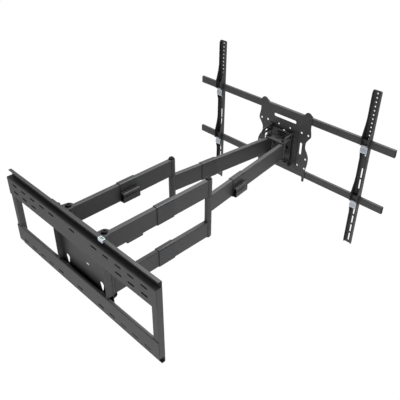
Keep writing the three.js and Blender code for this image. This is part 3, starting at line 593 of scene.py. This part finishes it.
# ------------ pivot and plate bolts
# Black steel socket bolts with a chamfered head, a plain shank and a hex nut. The plate bolts
# are a row of four copies, the pivot bolts are longer and stand upright.
BOLT_BORE = 6.3
HEAD_BORE = 5.3
BOLT_HEAD = 7.0
BLACK_HARDWARE = finish("blackened_bolt_steel", (0.030, 0.030, 0.033), (0.30, 0.29, 0.28), 0.36, 0.08,
                        metallic=0.75, grain=0.0004, bump=0.15, wear_and_highlight=0.7)


def hexagon(radius, bottom, height, edge):
    return pressed([arc_points(0, 0, radius, 0, 300, 5)], "level", bottom, height, edge)


def socket_bolt(radius, top, bottom):
    """Upright bolt: its head stands on top, and its nut hangs under bottom."""
    head = radius * 11 / 6
    profile = [(radius - 0.8, bottom - 7), (radius, bottom - 6.2), (radius, top), (head - 0.4, top),
               (head, top + 0.4), (head, top + 4.2), (head * 0.92, top + 5.4), (head * 0.75, top + 7)]
    body = combined(turned(profile), hexagon(radius * 0.7, top + 2.8, 9, 0.05), "DIFFERENCE")
    nut = combined(hexagon(head, bottom - 5.95, 5.95, 0.05),
                   turned([(head * 0.84, bottom - 6), (head + 0.2, bottom - 4.4),
                           (head + 0.2, bottom + 1)]), "INTERSECT")
    return together(body, nut)


def row_tree():
    """Geometry Nodes: places a copy of the incoming piece at every point of a grid in x and z."""
    tree, given = geometry_tree("bolt grid",
                                [("Wide", "Float"), ("High", "Float"), ("Place", "Vector"),
                                 ("Columns", "Int"), ("Rows", "Int")])
    grid = node(tree, "GeometryNodeMeshGrid",
                [("Size X", given["Wide"]), ("Size Y", given["High"]), ("Vertices X", given["Columns"]),
                 ("Vertices Y", given["Rows"])])
    upright = node(tree, "GeometryNodeTransform",
                   [("Geometry", grid.outputs[0]), ("Translation", given["Place"]),
                    ("Rotation", (math.pi / 2, 0, 0))])
    copies = node(tree, "GeometryNodeInstanceOnPoints",
                  [("Points", upright.outputs[0]), ("Instance", given["Geometry"])])
    return close_tree(tree, copies.outputs[0], given)


GRID = row_tree()
plate_bolts = [f"plate_bolt_{level}_{name}" for level in ("upper", "lower") for name in ("right", "left")]
low, high = span("plate_bolt_upper_right")
bolt_head = turned([(4, high.y - 3.6), (7.6, high.y - 3.5), (8, high.y - 3.1), (7.4, high.y - 1.6),
                    (5.6, high.y)])
bolt_head = combined(bolt_head, hexagon(2.6, high.y - 2, 9, 0.05), "DIFFERENCE")
shank = turned([(3.3, low.y), (4, low.y + 0.7), (4, high.y - 3.6)])
nut_front = low.y + 2
plate_bolt = together(bolt_head, shank, hexagon(7.5, nut_front, 5.5, 0.4))
plate_bolt.transform(Matrix.Rotation(-math.pi / 2, 4, "X"))
grid = run_tree(plate_bolt, GRID, wide=2 * PLATE_BOLT[0], high=2 * PLATE_BOLT[1], place=(0, 0, plate_z),
                columns=2, rows=2, material=BLACK_HARDWARE)
piece("plate_bolts_set", grid, "wall_plate", BLACK_HARDWARE, plate_bolts)

pivot_bolts = [(f"{name}_{place}_bolt", body.format(name)) for name in ("right", "left") for place,
               body in (("shoulder", "wall_plate"), ("elbow", "{}_wall_arm"), ("head", "yoke"))]
pivot_bolts.append(("swivel_bolt", "swivel_head"))
for name, body in pivot_bolts:
    low, high = span(name)
    radius = (high.y - low.y) / 2 * 6 / 11
    bolt = socket_bolt(round(radius), high.z - BOLT_HEAD, low.z + BOLT_HEAD)
    bolt.transform(Matrix.Translation(((low.x + high.x) / 2, (low.y + high.y) / 2, 0)))
    piece(name + "_turned", bolt, body, BLACK_HARDWARE, [name])

# ------------ arms
# Rectangular steel tubes 20 mm wide, saddle cut and welded to bored barrels. Wall arms have two
# tubes each; forearms have one, and turn in towards the head.
TUBE_WALL = 1.6
TUBE_HALF = 10.0
TUBE_CORNER = 3.0
BARREL = 14.0
HEAD_BARREL = 13.0
OPEN_PIVOT_BORE = 9.1
BEAD_STEP = 1.6
SIDES = (("right", 1), ("left", -1))


def bead_tree():
    """Geometry Nodes: a weld bead of overlapping ripples along an upright line."""
    tree, given = geometry_tree("weld bead", [("Start", "Vector"), ("Step", "Vector"), ("Count", "Int")])
    line = node(tree, "GeometryNodeMeshLine",
                [("Count", given["Count"]), ("Start Location", given["Start"]), ("Offset", given["Step"])])
    drop = node(tree, "GeometryNodeMeshUVSphere", [("Segments", 10), ("Rings", 6), ("Radius", 1.5)])
    copies = node(tree, "GeometryNodeInstanceOnPoints",
                  [("Points", line.outputs[0]), ("Instance", drop.outputs[0])])
    squashed = node(tree, "GeometryNodeScaleInstances",
                    [("Instances", copies.outputs[0]), ("Scale", (1.0, 1.0, 0.7))])
    both = node(tree, "GeometryNodeJoinGeometry")
    for part in (squashed.outputs[0], given["Geometry"]):
        tree.links.new(part, both.inputs[0])
    return close_tree(tree, both.outputs[0], given)


BEAD = bead_tree()


def arm_tube(bottom, top, length, first, last, bore):
    """Tube along -y from a first barrel's axis, with the last barrel welded on at its end."""
    height = top - bottom
    section = fillet(rectangle(-TUBE_HALF, bottom, TUBE_HALF, top), TUBE_CORNER)
    free, floor_z, roof_z = TUBE_HALF - TUBE_WALL, bottom + TUBE_WALL, top - TUBE_WALL
    inside = fillet(rectangle(-free, floor_z, free, roof_z), TUBE_CORNER - TUBE_WALL)
    tube = pressed([section, inside], "wall", 0, length, 0.1)
    saddle = pressed([round_hole(0, 0, first + 0.3, 48)], "level", bottom - 1, height + 2, 0.02)
    tube = combined(tube, saddle, "DIFFERENCE")
    knuckle = pressed([round_hole(0, -length, last, 48)], "level", bottom, height, 0.8)
    tube = combined(tube, knuckle, "UNION")
    reamer = pressed([round_hole(0, -length, bore, 40)], "level", bottom - 1, height + 2, 0.02)
    tube = combined(tube, reamer, "DIFFERENCE")
    for centre, radius, way in ((0, first, -1), (-length, last, 1)):
        seam = centre + way * math.sqrt(radius * radius - TUBE_HALF * TUBE_HALF)
        count = int((height - 8) / BEAD_STEP) + 1
        for x in (-TUBE_HALF, TUBE_HALF):
            tube = run_tree(tube, BEAD, start=(x, seam, bottom + 4), step=(0, 0, BEAD_STEP), count=count,
                            material=POWDER_COAT)
    return tube


def barrel_ring(node_name, bore, edge=0.8):
    """Bored barrel standing where the named CAD node stands."""
    low, high = span(node_name)
    x, y = (low.x + high.x) / 2, (low.y + high.y) / 2
    outlines = [round_hole(x, y, (high.y - low.y) / 2, 48), round_hole(x, y, bore, 40)]
    return pressed(outlines, "level", low.z, high.z - low.z, edge)


ELBOW_Y = -540.0
head_low, head_high = span("right_head_bolt")
HEAD = ((head_low.x + head_high.x) / 2, (head_low.y + head_high.y) / 2)
SPLAY = math.atan2(SHOULDER[0] - HEAD[0], ELBOW_Y - HEAD[1])
REACH = math.hypot(SHOULDER[0] - HEAD[0], ELBOW_Y - HEAD[1])
ARM_PLACE = {}
for name, side in SIDES:
    ARM_PLACE[name, "wall_arm"] = Matrix.Translation((side * SHOULDER[0], SHOULDER[1], 0))
    ARM_PLACE[name, "forearm"] = (Matrix.Translation((side * SHOULDER[0], ELBOW_Y,
                                                      0)) @ Matrix.Rotation(-side * SPLAY, 4, "Z"))
    steel(f"{name}_shoulder_ring", barrel_ring(f"{name}_shoulder_barrel", BOLT_BORE), f"{name}_wall_arm",
          [f"{name}_shoulder_barrel"])
    for level in ("upper", "lower"):
        low, high = span(f"{name}_wall_tube_{level}")
        tube = arm_tube(low.z, high.z, SHOULDER[1] - ELBOW_Y, BARREL, BARREL, BOLT_BORE)
        tube.transform(ARM_PLACE[name, "wall_arm"])
        steel(f"{name}_wall_tube_{level}_welded", tube, f"{name}_wall_arm", [f"{name}_wall_tube_{level}"])
    steel(f"{name}_elbow_ring", barrel_ring(f"{name}_elbow_barrel", BOLT_BORE), f"{name}_forearm",
          [f"{name}_elbow_barrel"])
    low, high = span(f"{name}_forearm_tube")
    head_bore = HEAD_BORE if side > 0 else OPEN_PIVOT_BORE
    tube = arm_tube(low.z, high.z, REACH, BARREL, HEAD_BARREL, head_bore)
    tube.transform(ARM_PLACE[name, "forearm"])
    steel(f"{name}_forearm_welded", tube, f"{name}_forearm", [f"{name}_forearm_tube"])

# ------------ elbow washers and cable clips
# Moulded black plastic: thin bearing washers in the elbows, and clips that wrap the tubes and
# carry an open cable channel with a slit.
CLIP_PLASTIC = finish("black_moulded_plastic", (0.034, 0.035, 0.038), (0.10, 0.10, 0.11), 0.42, 0.06,
                      grain=0.0009, bump=0.2, wear_and_highlight=0.35, tone=0.12)
for name in ("right", "left"):
    for level in ("upper", "lower"):
        washer = barrel_ring(f"{name}_elbow_washer_{level}", BOLT_BORE, 0.3)
        piece(f"{name}_elbow_washer_{level}_ring", washer, f"{name}_forearm", CLIP_PLASTIC,
              [f"{name}_elbow_washer_{level}"])


def clip_section(bottom, top, side):
    """Outline and tube hole of a clip round a tube, with its channel on the given side."""
    low, high = bottom - 0.4, top + 0.4
    floor_z, roof_z = low + 2, low + 38
    slit = roof_z - 10.8
    edge = [(-12.8, low - 2.4, 5.4), (12.8, low - 2.4, 1.5), (12.8, floor_z - 2.4, 0),
            (30.2, floor_z - 2.4, 4), (30.2, slit - 2, 0.8), (27.8, slit - 2, 0.8), (27.8, floor_z, 2),
            (12.8, floor_z, 2), (12.8, roof_z, 2), (27.8, roof_z, 2), (27.8, slit + 2, 0.8),
            (30.2, slit + 2, 0.8), (30.2, roof_z + 2.4, 4), (12.8, roof_z + 2.4, 1.5),
            (12.8, high + 2.4, 5.4), (-12.8, high + 2.4, 5.4)]
    edge = fillet([(side * u, v, r) for u, v, r in edge][::side], 2)
    hole = fillet(rectangle(-10.4, low, 10.4, high), 3)
    return [edge, hole]


CLIP_LENGTH = 78.0
WALL_CLIP = 253
FOREARM_CLIP = 187
for name, side in SIDES:
    for place, tube, arm, distance, way in (("upper", "wall_tube_upper", "wall_arm", WALL_CLIP, -side),
                                            ("lower", "wall_tube_lower", "wall_arm", WALL_CLIP, -side),
                                            ("forearm", "forearm_tube", "forearm", FOREARM_CLIP, side)):
        low, high = span(f"{name}_{tube}")
        clip = f"{name}_clip_{place}"
        section = clip_section(low.z, high.z, way)
        wrap = pressed(section, "wall", -distance + CLIP_LENGTH / 2, CLIP_LENGTH, 0.5)
        wrap.transform(ARM_PLACE[name, arm])
        piece(clip + "_moulded", wrap, f"{name}_{arm}", CLIP_PLASTIC, [clip])

# ------------ yoke
# Two 4 mm plates over and under the forearm ends, joined by the swivel barrel welded between
# their noses. Head bolts run through the forearms' barrels.
HEAD_HALF = 40.0
YOKE_END = 17.0
NOSE_OFFSET = 22.0
NOSE = 11.0
for name in ("yoke_plate_upper", "yoke_plate_lower"):
    low, high = span(name)
    neck = HEAD[1] - YOKE_END + 0.1
    nose_y = HEAD[1] - NOSE_OFFSET
    yoke_edge = arc_points(HEAD_HALF, HEAD[1], YOKE_END, -90, 90)
    yoke_edge += arc_points(-HEAD_HALF, HEAD[1], YOKE_END, 90, 270) + [(-HEAD_HALF, neck)]
    yoke_edge += arc_points(0, nose_y, NOSE, 180, 360) + [(HEAD_HALF, neck)]
    pivots = ((HEAD_HALF, HEAD[1]), (-HEAD_HALF, HEAD[1]), (0, nose_y))
    bores = [round_hole(x, y, HEAD_BORE) for x, y in pivots]
    yoke_plate = pressed([yoke_edge] + bores, "level", low.z, high.z - low.z, 0.4)
    steel(name + "_cut", yoke_plate, "yoke", [name])
nose_ring = barrel_ring("swivel_barrel", HEAD_BORE)
steel("swivel_barrel_ring", nose_ring, "yoke", ["swivel_barrel"])

# ------------ swivel bracket
# Folded 3 mm channel behind the face plate, its two cheeks bored for the tilt shaft and lock
# bolts, and two lugs welded on to turn about the swivel bolt.
HEAD_SHEET = 3.0
SHAFT_BORE = 5.3
LOCK_BORE = 4.3
low, high = span("swivel_bracket")
shaft_low, shaft_high = span("tilt_shaft")
lock_low, lock_high = span("tilt_lock_bolt_right")
web_front = low.y
web_back = web_front + HEAD_SHEET
tilt_y = (shaft_low.y + shaft_high.y) / 2
tilt_z = (shaft_low.z + shaft_high.z) / 2
lock_z = (lock_low.z + lock_high.z) / 2
cheek_end = tilt_y + 12
h = HEAD_SHEET / 2
fold_path = [(low.x + h, cheek_end + 2), (low.x + h, web_front + h), (high.x - h, web_front + h),
             (high.x - h, cheek_end + 2)]
channel = pressed([folded(fold_path, HEAD_SHEET, 2)], "level", low.z, high.z - low.z)
cheek_edge = fillet([(web_front - 1, low.z), (cheek_end, low.z, 8), (cheek_end, tilt_z + 13, 8),
                     (web_back + 3, tilt_z + 13, 3), (web_back + 3, lock_z - 10, 3),
                     (cheek_end, lock_z - 10, 6), (cheek_end, high.z, 6), (web_front - 1, high.z),], 0)
cheek_cuts = [round_hole(tilt_y, tilt_z, SHAFT_BORE), round_hole(tilt_y, lock_z, LOCK_BORE)]
profile = pressed([cheek_edge] + cheek_cuts, "side", low.x - 1, high.x - low.x + 2, 0.02)
bracket = combined(channel, profile, "INTERSECT")
for cut_edge in (round_slot(0, high.z - 13, 50, 8), round_hole(-36, high.z - 74, 9),
                 round_hole(36, high.z - 74, 9)):
    bracket = combined(bracket, pressed([cut_edge], "wall", web_back + 1, HEAD_SHEET + 2, 0.02),
                       "DIFFERENCE")
swivel_low, swivel_high = span("swivel_bolt")
swivel_y = (swivel_low.y + swivel_high.y) / 2
for lug_bottom in (swivel_high.z - 7.3 - 4, swivel_low.z + 7.3):
    lug_edge = [(-15, web_back - 1), (15, web_back - 1)] + arc_points(0, swivel_y, 15, 0, 180)
    lug = pressed([lug_edge, round_hole(0, swivel_y, HEAD_BORE)], "level", lug_bottom, 4, 0.3)
    bracket = together(bracket, lug)
steel("swivel_bracket_folded", bracket, "swivel_head", ["swivel_bracket"], edge=0.2)

# ------------ tilt shaft and lock bolts
# Blackened shaft with riveted heads through both pairs of cheeks, and a lock bolt in each
# curved slot with a broad domed head.
shaft_end = shaft_high.x
shaft_profile = [(7.2, -shaft_end), (8.6, 0.9 - shaft_end), (9, 2 - shaft_end), (9, 5 - shaft_end),
                 (5, 5 - shaft_end), (5, shaft_end - 5), (9, shaft_end - 5), (9, shaft_end - 2),
                 (8.6, shaft_end - 0.9), (7.2, shaft_end)]
shaft = turned(shaft_profile)
shaft.transform(Matrix.Translation((0, tilt_y, tilt_z)) @ Matrix.Rotation(math.pi / 2, 4, "Y"))
piece("tilt_shaft_turned", shaft, "swivel_head", BLACK_HARDWARE, ["tilt_shaft"])
for name, side in SIDES:
    low, high = span(f"tilt_lock_bolt_{name}")
    inner, outer = sorted((abs(low.x), abs(high.x)))
    lock_profile = [(3.3, inner), (4, inner + 0.7), (4, outer - 6), (9, outer - 6), (9, outer - 2.6),
                    (7.8, outer - 0.9), (5.8, outer)]
    lock_bolt = combined(turned(lock_profile), hexagon(3, outer - 3.4, 8, 0.05), "DIFFERENCE")
    lock_bolt = together(lock_bolt, hexagon(7.5, inner + 1, 5, 0.4))
    outwards = Matrix.Rotation(side * math.pi / 2, 4, "Y")
    lock_bolt.transform(Matrix.Translation((0, tilt_y, lock_z)) @ outwards)
    piece(f"tilt_lock_bolt_{name}_turned", lock_bolt, "swivel_head", BLACK_HARDWARE,
          [f"tilt_lock_bolt_{name}"])

# ------------ tilt cheeks
# Folded 3 mm angles on the back of the face plate. They hang on the tilt shaft, and a curved
# slot in each passes the lock bolt.
SPARE_ANGLE = 2.5
TILT_DOWN = 15 + SPARE_ANGLE
TILT_UP = 5 + SPARE_ANGLE
for name, side in SIDES:
    low, high = span(f"tilt_cheek_{name}")
    back = low.y
    reach = lock_z - tilt_z
    inner = 61.0
    flange = [(side * (inner + h), high.y + 1), (side * (inner + h), back + h),
              (side * (inner + 20), back + h)]
    angle = pressed([folded(flange, HEAD_SHEET, 2)], "level", low.z, high.z - low.z)
    under = lock_z - 13
    cheek_edge = fillet([(back - 1, low.z), (tilt_y + 4, low.z, 3), (tilt_y + 12, tilt_z - 8, 5),
                         (tilt_y + 12, tilt_z + 8, 5), (tilt_y + 7, tilt_z + 15, 3),
                         (back + 10, tilt_z + 15, 3), (back + 10, under - 4, 2), (back + 16, under, 2),
                         (high.y - 8, under - 5, 3), (high.y, under + 3, 3), (high.y, high.z - 14, 5),
                         (high.y - 10, high.z - 6, 5), (back - 1, high.z),], 0)
    curved = arc_points(tilt_y, tilt_z, reach + LOCK_BORE, 90 - TILT_DOWN, 90 + TILT_UP)
    for turn, way in ((90 + TILT_UP, 0), (90 - TILT_DOWN, 180)):
        cap = tilt_y + reach * math.cos(math.radians(turn)), tilt_z + reach * math.sin(math.radians(turn))
        curved += arc_points(*cap, LOCK_BORE, turn + way, turn + way + 180, 8)[1:-1]
        if way == 0:
            curved += arc_points(tilt_y, tilt_z, reach - LOCK_BORE, 90 + TILT_UP, 90 - TILT_DOWN)
    stamp = pressed([cheek_edge, round_hole(tilt_y, tilt_z, SHAFT_BORE), curved], "side",
                    side * (inner + 10) - 12, 24, 0.02)
    steel(f"tilt_cheek_{name}_folded", combined(angle, stamp, "INTERSECT"), "screen_frame",
          [f"tilt_cheek_{name}"], edge=0.2)


# ------------ face plate
# Waisted 3 mm plate cut from sheet, with a hand slot, rows of round holes, two upright slots,
# and two folded hooks that hang over the upper screen rail.
def flowing(points, steps=8):
    """Smooth curve through the points, its ends included."""
    line = []
    vectors = [Vector(p) for p in points]
    for i in range(len(vectors) - 1):
        p0, p1 = vectors[max(i - 1, 0)], vectors[i]
        p2, p3 = vectors[i + 1], vectors[min(i + 2, len(vectors) - 1)]
        for k in range(steps):
            t = k / steps
            line.append(((p2 - p0) * t + (2 * p0 - 5 * p1 + 4 * p2 - p3) * t * t
                         + (3 * p1 - p0 - 3 * p2 + p3) * t * t * t + 2 * p1) / 2)
    return line + [vectors[-1]]


rail_low, rail_high = span("screen_rail_upper")
foot_low, foot_high = span("screen_rail_lower")
low, high = span("face_plate")
face_back = high.y
face_front = face_back - HEAD_SHEET
top, foot, tail = rail_high.z, foot_high.z + 3, foot_low.z - 19
waist = [(137, tail + 6), (138, plate_z - 62), (144, plate_z - 28), (145, plate_z + 4), (136, plate_z + 28),
         (124, plate_z + 48), (124, plate_z + 76), (136, plate_z + 96), (146, plate_z + 112),
         (145, plate_z + 130), (141, plate_z + 152), (140, top + 2)]
half_edge = [Vector((116, foot)), Vector((124, foot - 8))] + arc_points(131, tail + 6, 6, 180, 360, 10)
half_edge += flowing(waist)[1:-1] + arc_points(121, top + 2, 19, 0, 162, 14) + [Vector((92, top))]
whole_edge = half_edge + [Vector((-p.x, p.y)) for p in reversed(half_edge)]
face_cuts = [round_slot(0, plate_z + 155, 124, 15), round_hole(0, plate_z + 92, 7)]
for side in (-1, 1):
    for x, z, radius in ((132, 116, 5), (96, 118, 5), (32, 118, 4), (132, -4, 5), (131, -52, 5),
                         (92, -48, 4.5), (32, -48, 4.5)):
        face_cuts.append(round_hole(side * x, plate_z + z, radius))
    face_cuts.append(round_slot(side * 100, plate_z + 40, 12, 60))
face = pressed([whole_edge] + face_cuts, "wall", face_back, HEAD_SHEET, 0.35)
for side in (-1, 1):
    over, lip = rail_high.z + 0.3, rail_low.y - 0.3
    hook_path = [(face_front + 1, over + h), (lip - h, over + h), (lip - h, over - 10)]
    hook = pressed([folded(hook_path, HEAD_SHEET, 1)], "side", side * 121 - 11, 22)
    face = together(face, hook)
steel("face_plate_cut", face, "screen_frame", ["face_plate"])

# ------------ screen rails
# Two long rectangular tubes with rounded corners, across the face plate. The ends are sawn off
# and left open.
for name in ("screen_rail_upper", "screen_rail_lower"):
    low, high = span(name)
    outer = fillet(rectangle(low.y, low.z, high.y, high.z), 4, steps=5)
    inner = fillet(rectangle(low.y + TUBE_WALL, low.z + TUBE_WALL, high.y - TUBE_WALL, high.z - TUBE_WALL),
                   2)
    steel(name + "_tube", pressed([outer, inner], "side", low.x, high.x - low.x, 0.2), "screen_frame",
          [name])

# ------------ screen arms
# Upright folded 2.4 mm channels that carry the screen. The flanges deepen to hooks over both
# rails, and the web has a row of screw holes and upright slots.
ARM_SHEET = 2.4
RAIL_FIT = 0.5
leg_in = ARM_SHEET + RAIL_FIT + 14 + RAIL_FIT
SCREW_HOLE = 6.6
for name, side in SIDES:
    low, high = span(f"screen_arm_{name}")
    web = low.y
    centre = (low.x + high.x) / 2
    a = ARM_SHEET / 2
    section = [(low.x + a, high.y + 1), (low.x + a, web + a), (high.x - a, web + a),
               (high.x - a, high.y + 1)]
    body = pressed([folded(section, ARM_SHEET, 1.2)], "level", low.z, high.z - low.z, 0.2)
    hooked = [(web - 1, high.z), (web + 9, high.z, 2), (web + 14, high.z - 12, 6)]
    for rail_top, rail_foot in ((rail_high.z, rail_low.z), (foot_high.z, foot_low.z)):
        hooked += [(web + 14, rail_top + 90, 20), (web + 18, rail_top + 62, 20),
                   (web + 29, rail_top + 22, 12), (web + 34, rail_top + 10, 8),
                   (web + 35, rail_foot + 17, 10), (web + 32, rail_foot + 8, 3),
                   (web + 28, rail_foot + 6, 2), (web + leg_in, rail_foot + 6, 1.5),
                   (web + leg_in, rail_top + RAIL_FIT, 1), (web + a, rail_top + RAIL_FIT),
                   (web + a, rail_foot - RAIL_FIT), (web + leg_in + 2, rail_foot - RAIL_FIT, 2),
                   (web + leg_in + 6, rail_foot - 14, 6), (web + leg_in + 2, rail_foot - 34, 10),
                   (web + 14, rail_foot - 56, 14)]
    hooked += [(web + 14, low.z + 12, 6), (web + 9, low.z, 2), (web - 1, low.z)]
    outline_mesh = pressed([fillet(hooked, 0)], "side", low.x - 1, high.x - low.x + 2, 0.02)
    spine = pressed([fillet(rectangle(low.x, low.z, high.x, high.z), 5)], "wall", web + ARM_SHEET,
                    ARM_SHEET, 0.2)
    body = combined(body, outline_mesh, "INTERSECT")
    body = combined(body, spine, "UNION")
    body = punch(body, (centre, web + 5, high.z - 12), (0, 0, -18), 12, SCREW_HOLE, SCREW_HOLE)
    body = punch(body, (centre, web + 5, plate_z + 38), (0, 0, -54), 2, SCREW_HOLE, 48)
    body = punch(body, (centre, web + 5, plate_z - 154), (0, 0, -48), 4, SCREW_HOLE, 40)
    body = punch(body, (centre, web + 5, plate_z + 122), (0, 0, -48), 1, SCREW_HOLE, SCREW_HOLE)
    steel(f"screen_arm_{name}_folded", body, f"{name}_screen_arm", [f"screen_arm_{name}"], edge=0.15)

# ------------ rail locks
# Bright zinc locks inside the screen arms. Each slides up behind a rail's lower edge and has
# a ribbed thumb pad underneath.
ZINC_PLATE = finish("bright_zinc_plate", (0.60, 0.64, 0.70), (0.75, 0.77, 0.80), 0.30, 0.08, metallic=0.85,
                    grain=0.0005, bump=0.12, wear_and_highlight=0.4, cloud=0.02, tone=0.12)
for row, (rail_top, rail_foot) in (("upper", (rail_high.z, rail_low.z)),
                                   ("lower", (foot_high.z, foot_low.z))):
    for name in ("right", "left"):
        low, high = span(f"rail_lock_{row}_{name}")
        lip = web + leg_in
        shape = fillet([(low.y, low.z, 1.5), (lip + 3, low.z, 2), (high.y, low.z + 6, 3),
                        (high.y, rail_foot + 6, 2), (high.y - 2, high.z, 1.5), (lip, high.z, 1),
                        (lip, rail_foot - 0.3, 0.8), (low.y, rail_foot - 0.3, 0.8)], 0)
        lock = pressed([shape], "side", low.x, high.x - low.x, 0.8)
        for k in range(5):
            z = low.z + 11 + 4 * k
            groove = pressed([round_slot(high.y + 0.4, z, 2.4, 1.6)], "side", low.x + 4, high.x - low.x - 8,
                             0.3)
            lock = combined(lock, groove, "DIFFERENCE")
        piece(f"rail_lock_{row}_{name}_cast", lock, f"{row}_lock_{name}", ZINC_PLATE,
              [f"rail_lock_{row}_{name}"])


# ------------ studio
# Pale floor well below the mount, soft lights from above and in front, and the camera behind
# the wall line, above and to the left.
floor_mesh = bpy.data.meshes.new("studio_floor")
FLOOR_Z = -1.15
floor_corners = [(-30, -30, FLOOR_Z), (30, -30, FLOOR_Z), (30, 30, FLOOR_Z), (-30, 30, FLOOR_Z)]
floor_mesh.from_pydata(floor_corners, [], [(0, 1, 2, 3)])
floor = bpy.data.objects.new("studio_floor", floor_mesh)
put_in_scene(floor)
pale = bpy.data.materials.new("pale_floor")
pale.use_nodes = True
ground = pale.node_tree
matt = ground.nodes["Principled BSDF"]
matt.inputs["Base Color"].default_value = (0.9, 0.9, 0.9, 1)
matt.inputs["Roughness"].default_value = 0.9
floor_glow = node(ground, "ShaderNodeEmission", [("Color", (1, 1, 1, 1)), ("Strength", 1.02)])
seen = node(ground, "ShaderNodeLightPath")
shown = product(ground, seen.outputs["Is Camera Ray"], 0.97)
blend = node(ground, "ShaderNodeMixShader", [(0, shown), (1, matt.outputs[0]), (2, floor_glow.outputs[0])])
ground.links.new(blend.outputs[0], ground.nodes["Material Output"].inputs["Surface"])
floor_mesh.materials.append(pale)

world = bpy.data.worlds.new("studio")
world.use_nodes = True
sky = world.node_tree
daylight = sky.nodes["Background"]
daylight.inputs["Color"].default_value = (1, 1, 1, 1)
daylight.inputs["Strength"].default_value = 0.42
backdrop = node(sky, "ShaderNodeBackground", [("Color", (1, 1, 1, 1)), ("Strength", 1.0)])
sky_seen = node(sky, "ShaderNodeLightPath").outputs["Is Camera Ray"]
sky_blend = node(sky, "ShaderNodeMixShader",
                 [(0, sky_seen), (1, daylight.outputs[0]), (2, backdrop.outputs[0])])
sky.links.new(sky_blend.outputs[0], sky.nodes["World Output"].inputs["Surface"])
bpy.context.scene.world = world


def soft_light(name, place, aim, power, size):
    data = bpy.data.lights.new(name, "AREA")
    data.energy = power
    data.size = size
    light = bpy.data.objects.new(name, data)
    light.location = place
    light.rotation_mode = "QUATERNION"
    light.rotation_quaternion = (Vector(aim) - Vector(place)).to_track_quat("-Z", "Y")
    put_in_scene(light)


middle = (cad_low + cad_high) / 2
soft_light("overhead", (0.5, -1.9, 2.6), middle, 110, 1.6)
soft_light("behind_camera", (-2.4, 2.4, 0.5), middle, 45, 1.8)

CAMERA_PLACE = Vector((-1.3066, 0.7036, 1.1451))
CAMERA_AZIMUTH = math.radians(225.10)
CAMERA_HEIGHT = math.radians(34.49)
CAMERA_ROLL = math.radians(0.50)
CAMERA_LENS = 49.0

camera_data = bpy.data.cameras.new("camera")
camera_data.lens = CAMERA_LENS
camera_data.sensor_width = 36.0
camera_data.clip_end = 100
camera = bpy.data.objects.new("camera", camera_data)
backward = Vector((math.sin(CAMERA_AZIMUTH) * math.cos(CAMERA_HEIGHT),
                   -math.cos(CAMERA_AZIMUTH) * math.cos(CAMERA_HEIGHT), math.sin(CAMERA_HEIGHT)))
camera.location = CAMERA_PLACE
camera.rotation_mode = "QUATERNION"
roll = Matrix.Rotation(CAMERA_ROLL, 3, "Z").to_quaternion()
camera.rotation_quaternion = (-backward).to_track_quat("-Z", "Y") @ roll
put_in_scene(camera)
bpy.context.scene.camera = camera
bpy.context.scene.view_settings.view_transform = "Standard"
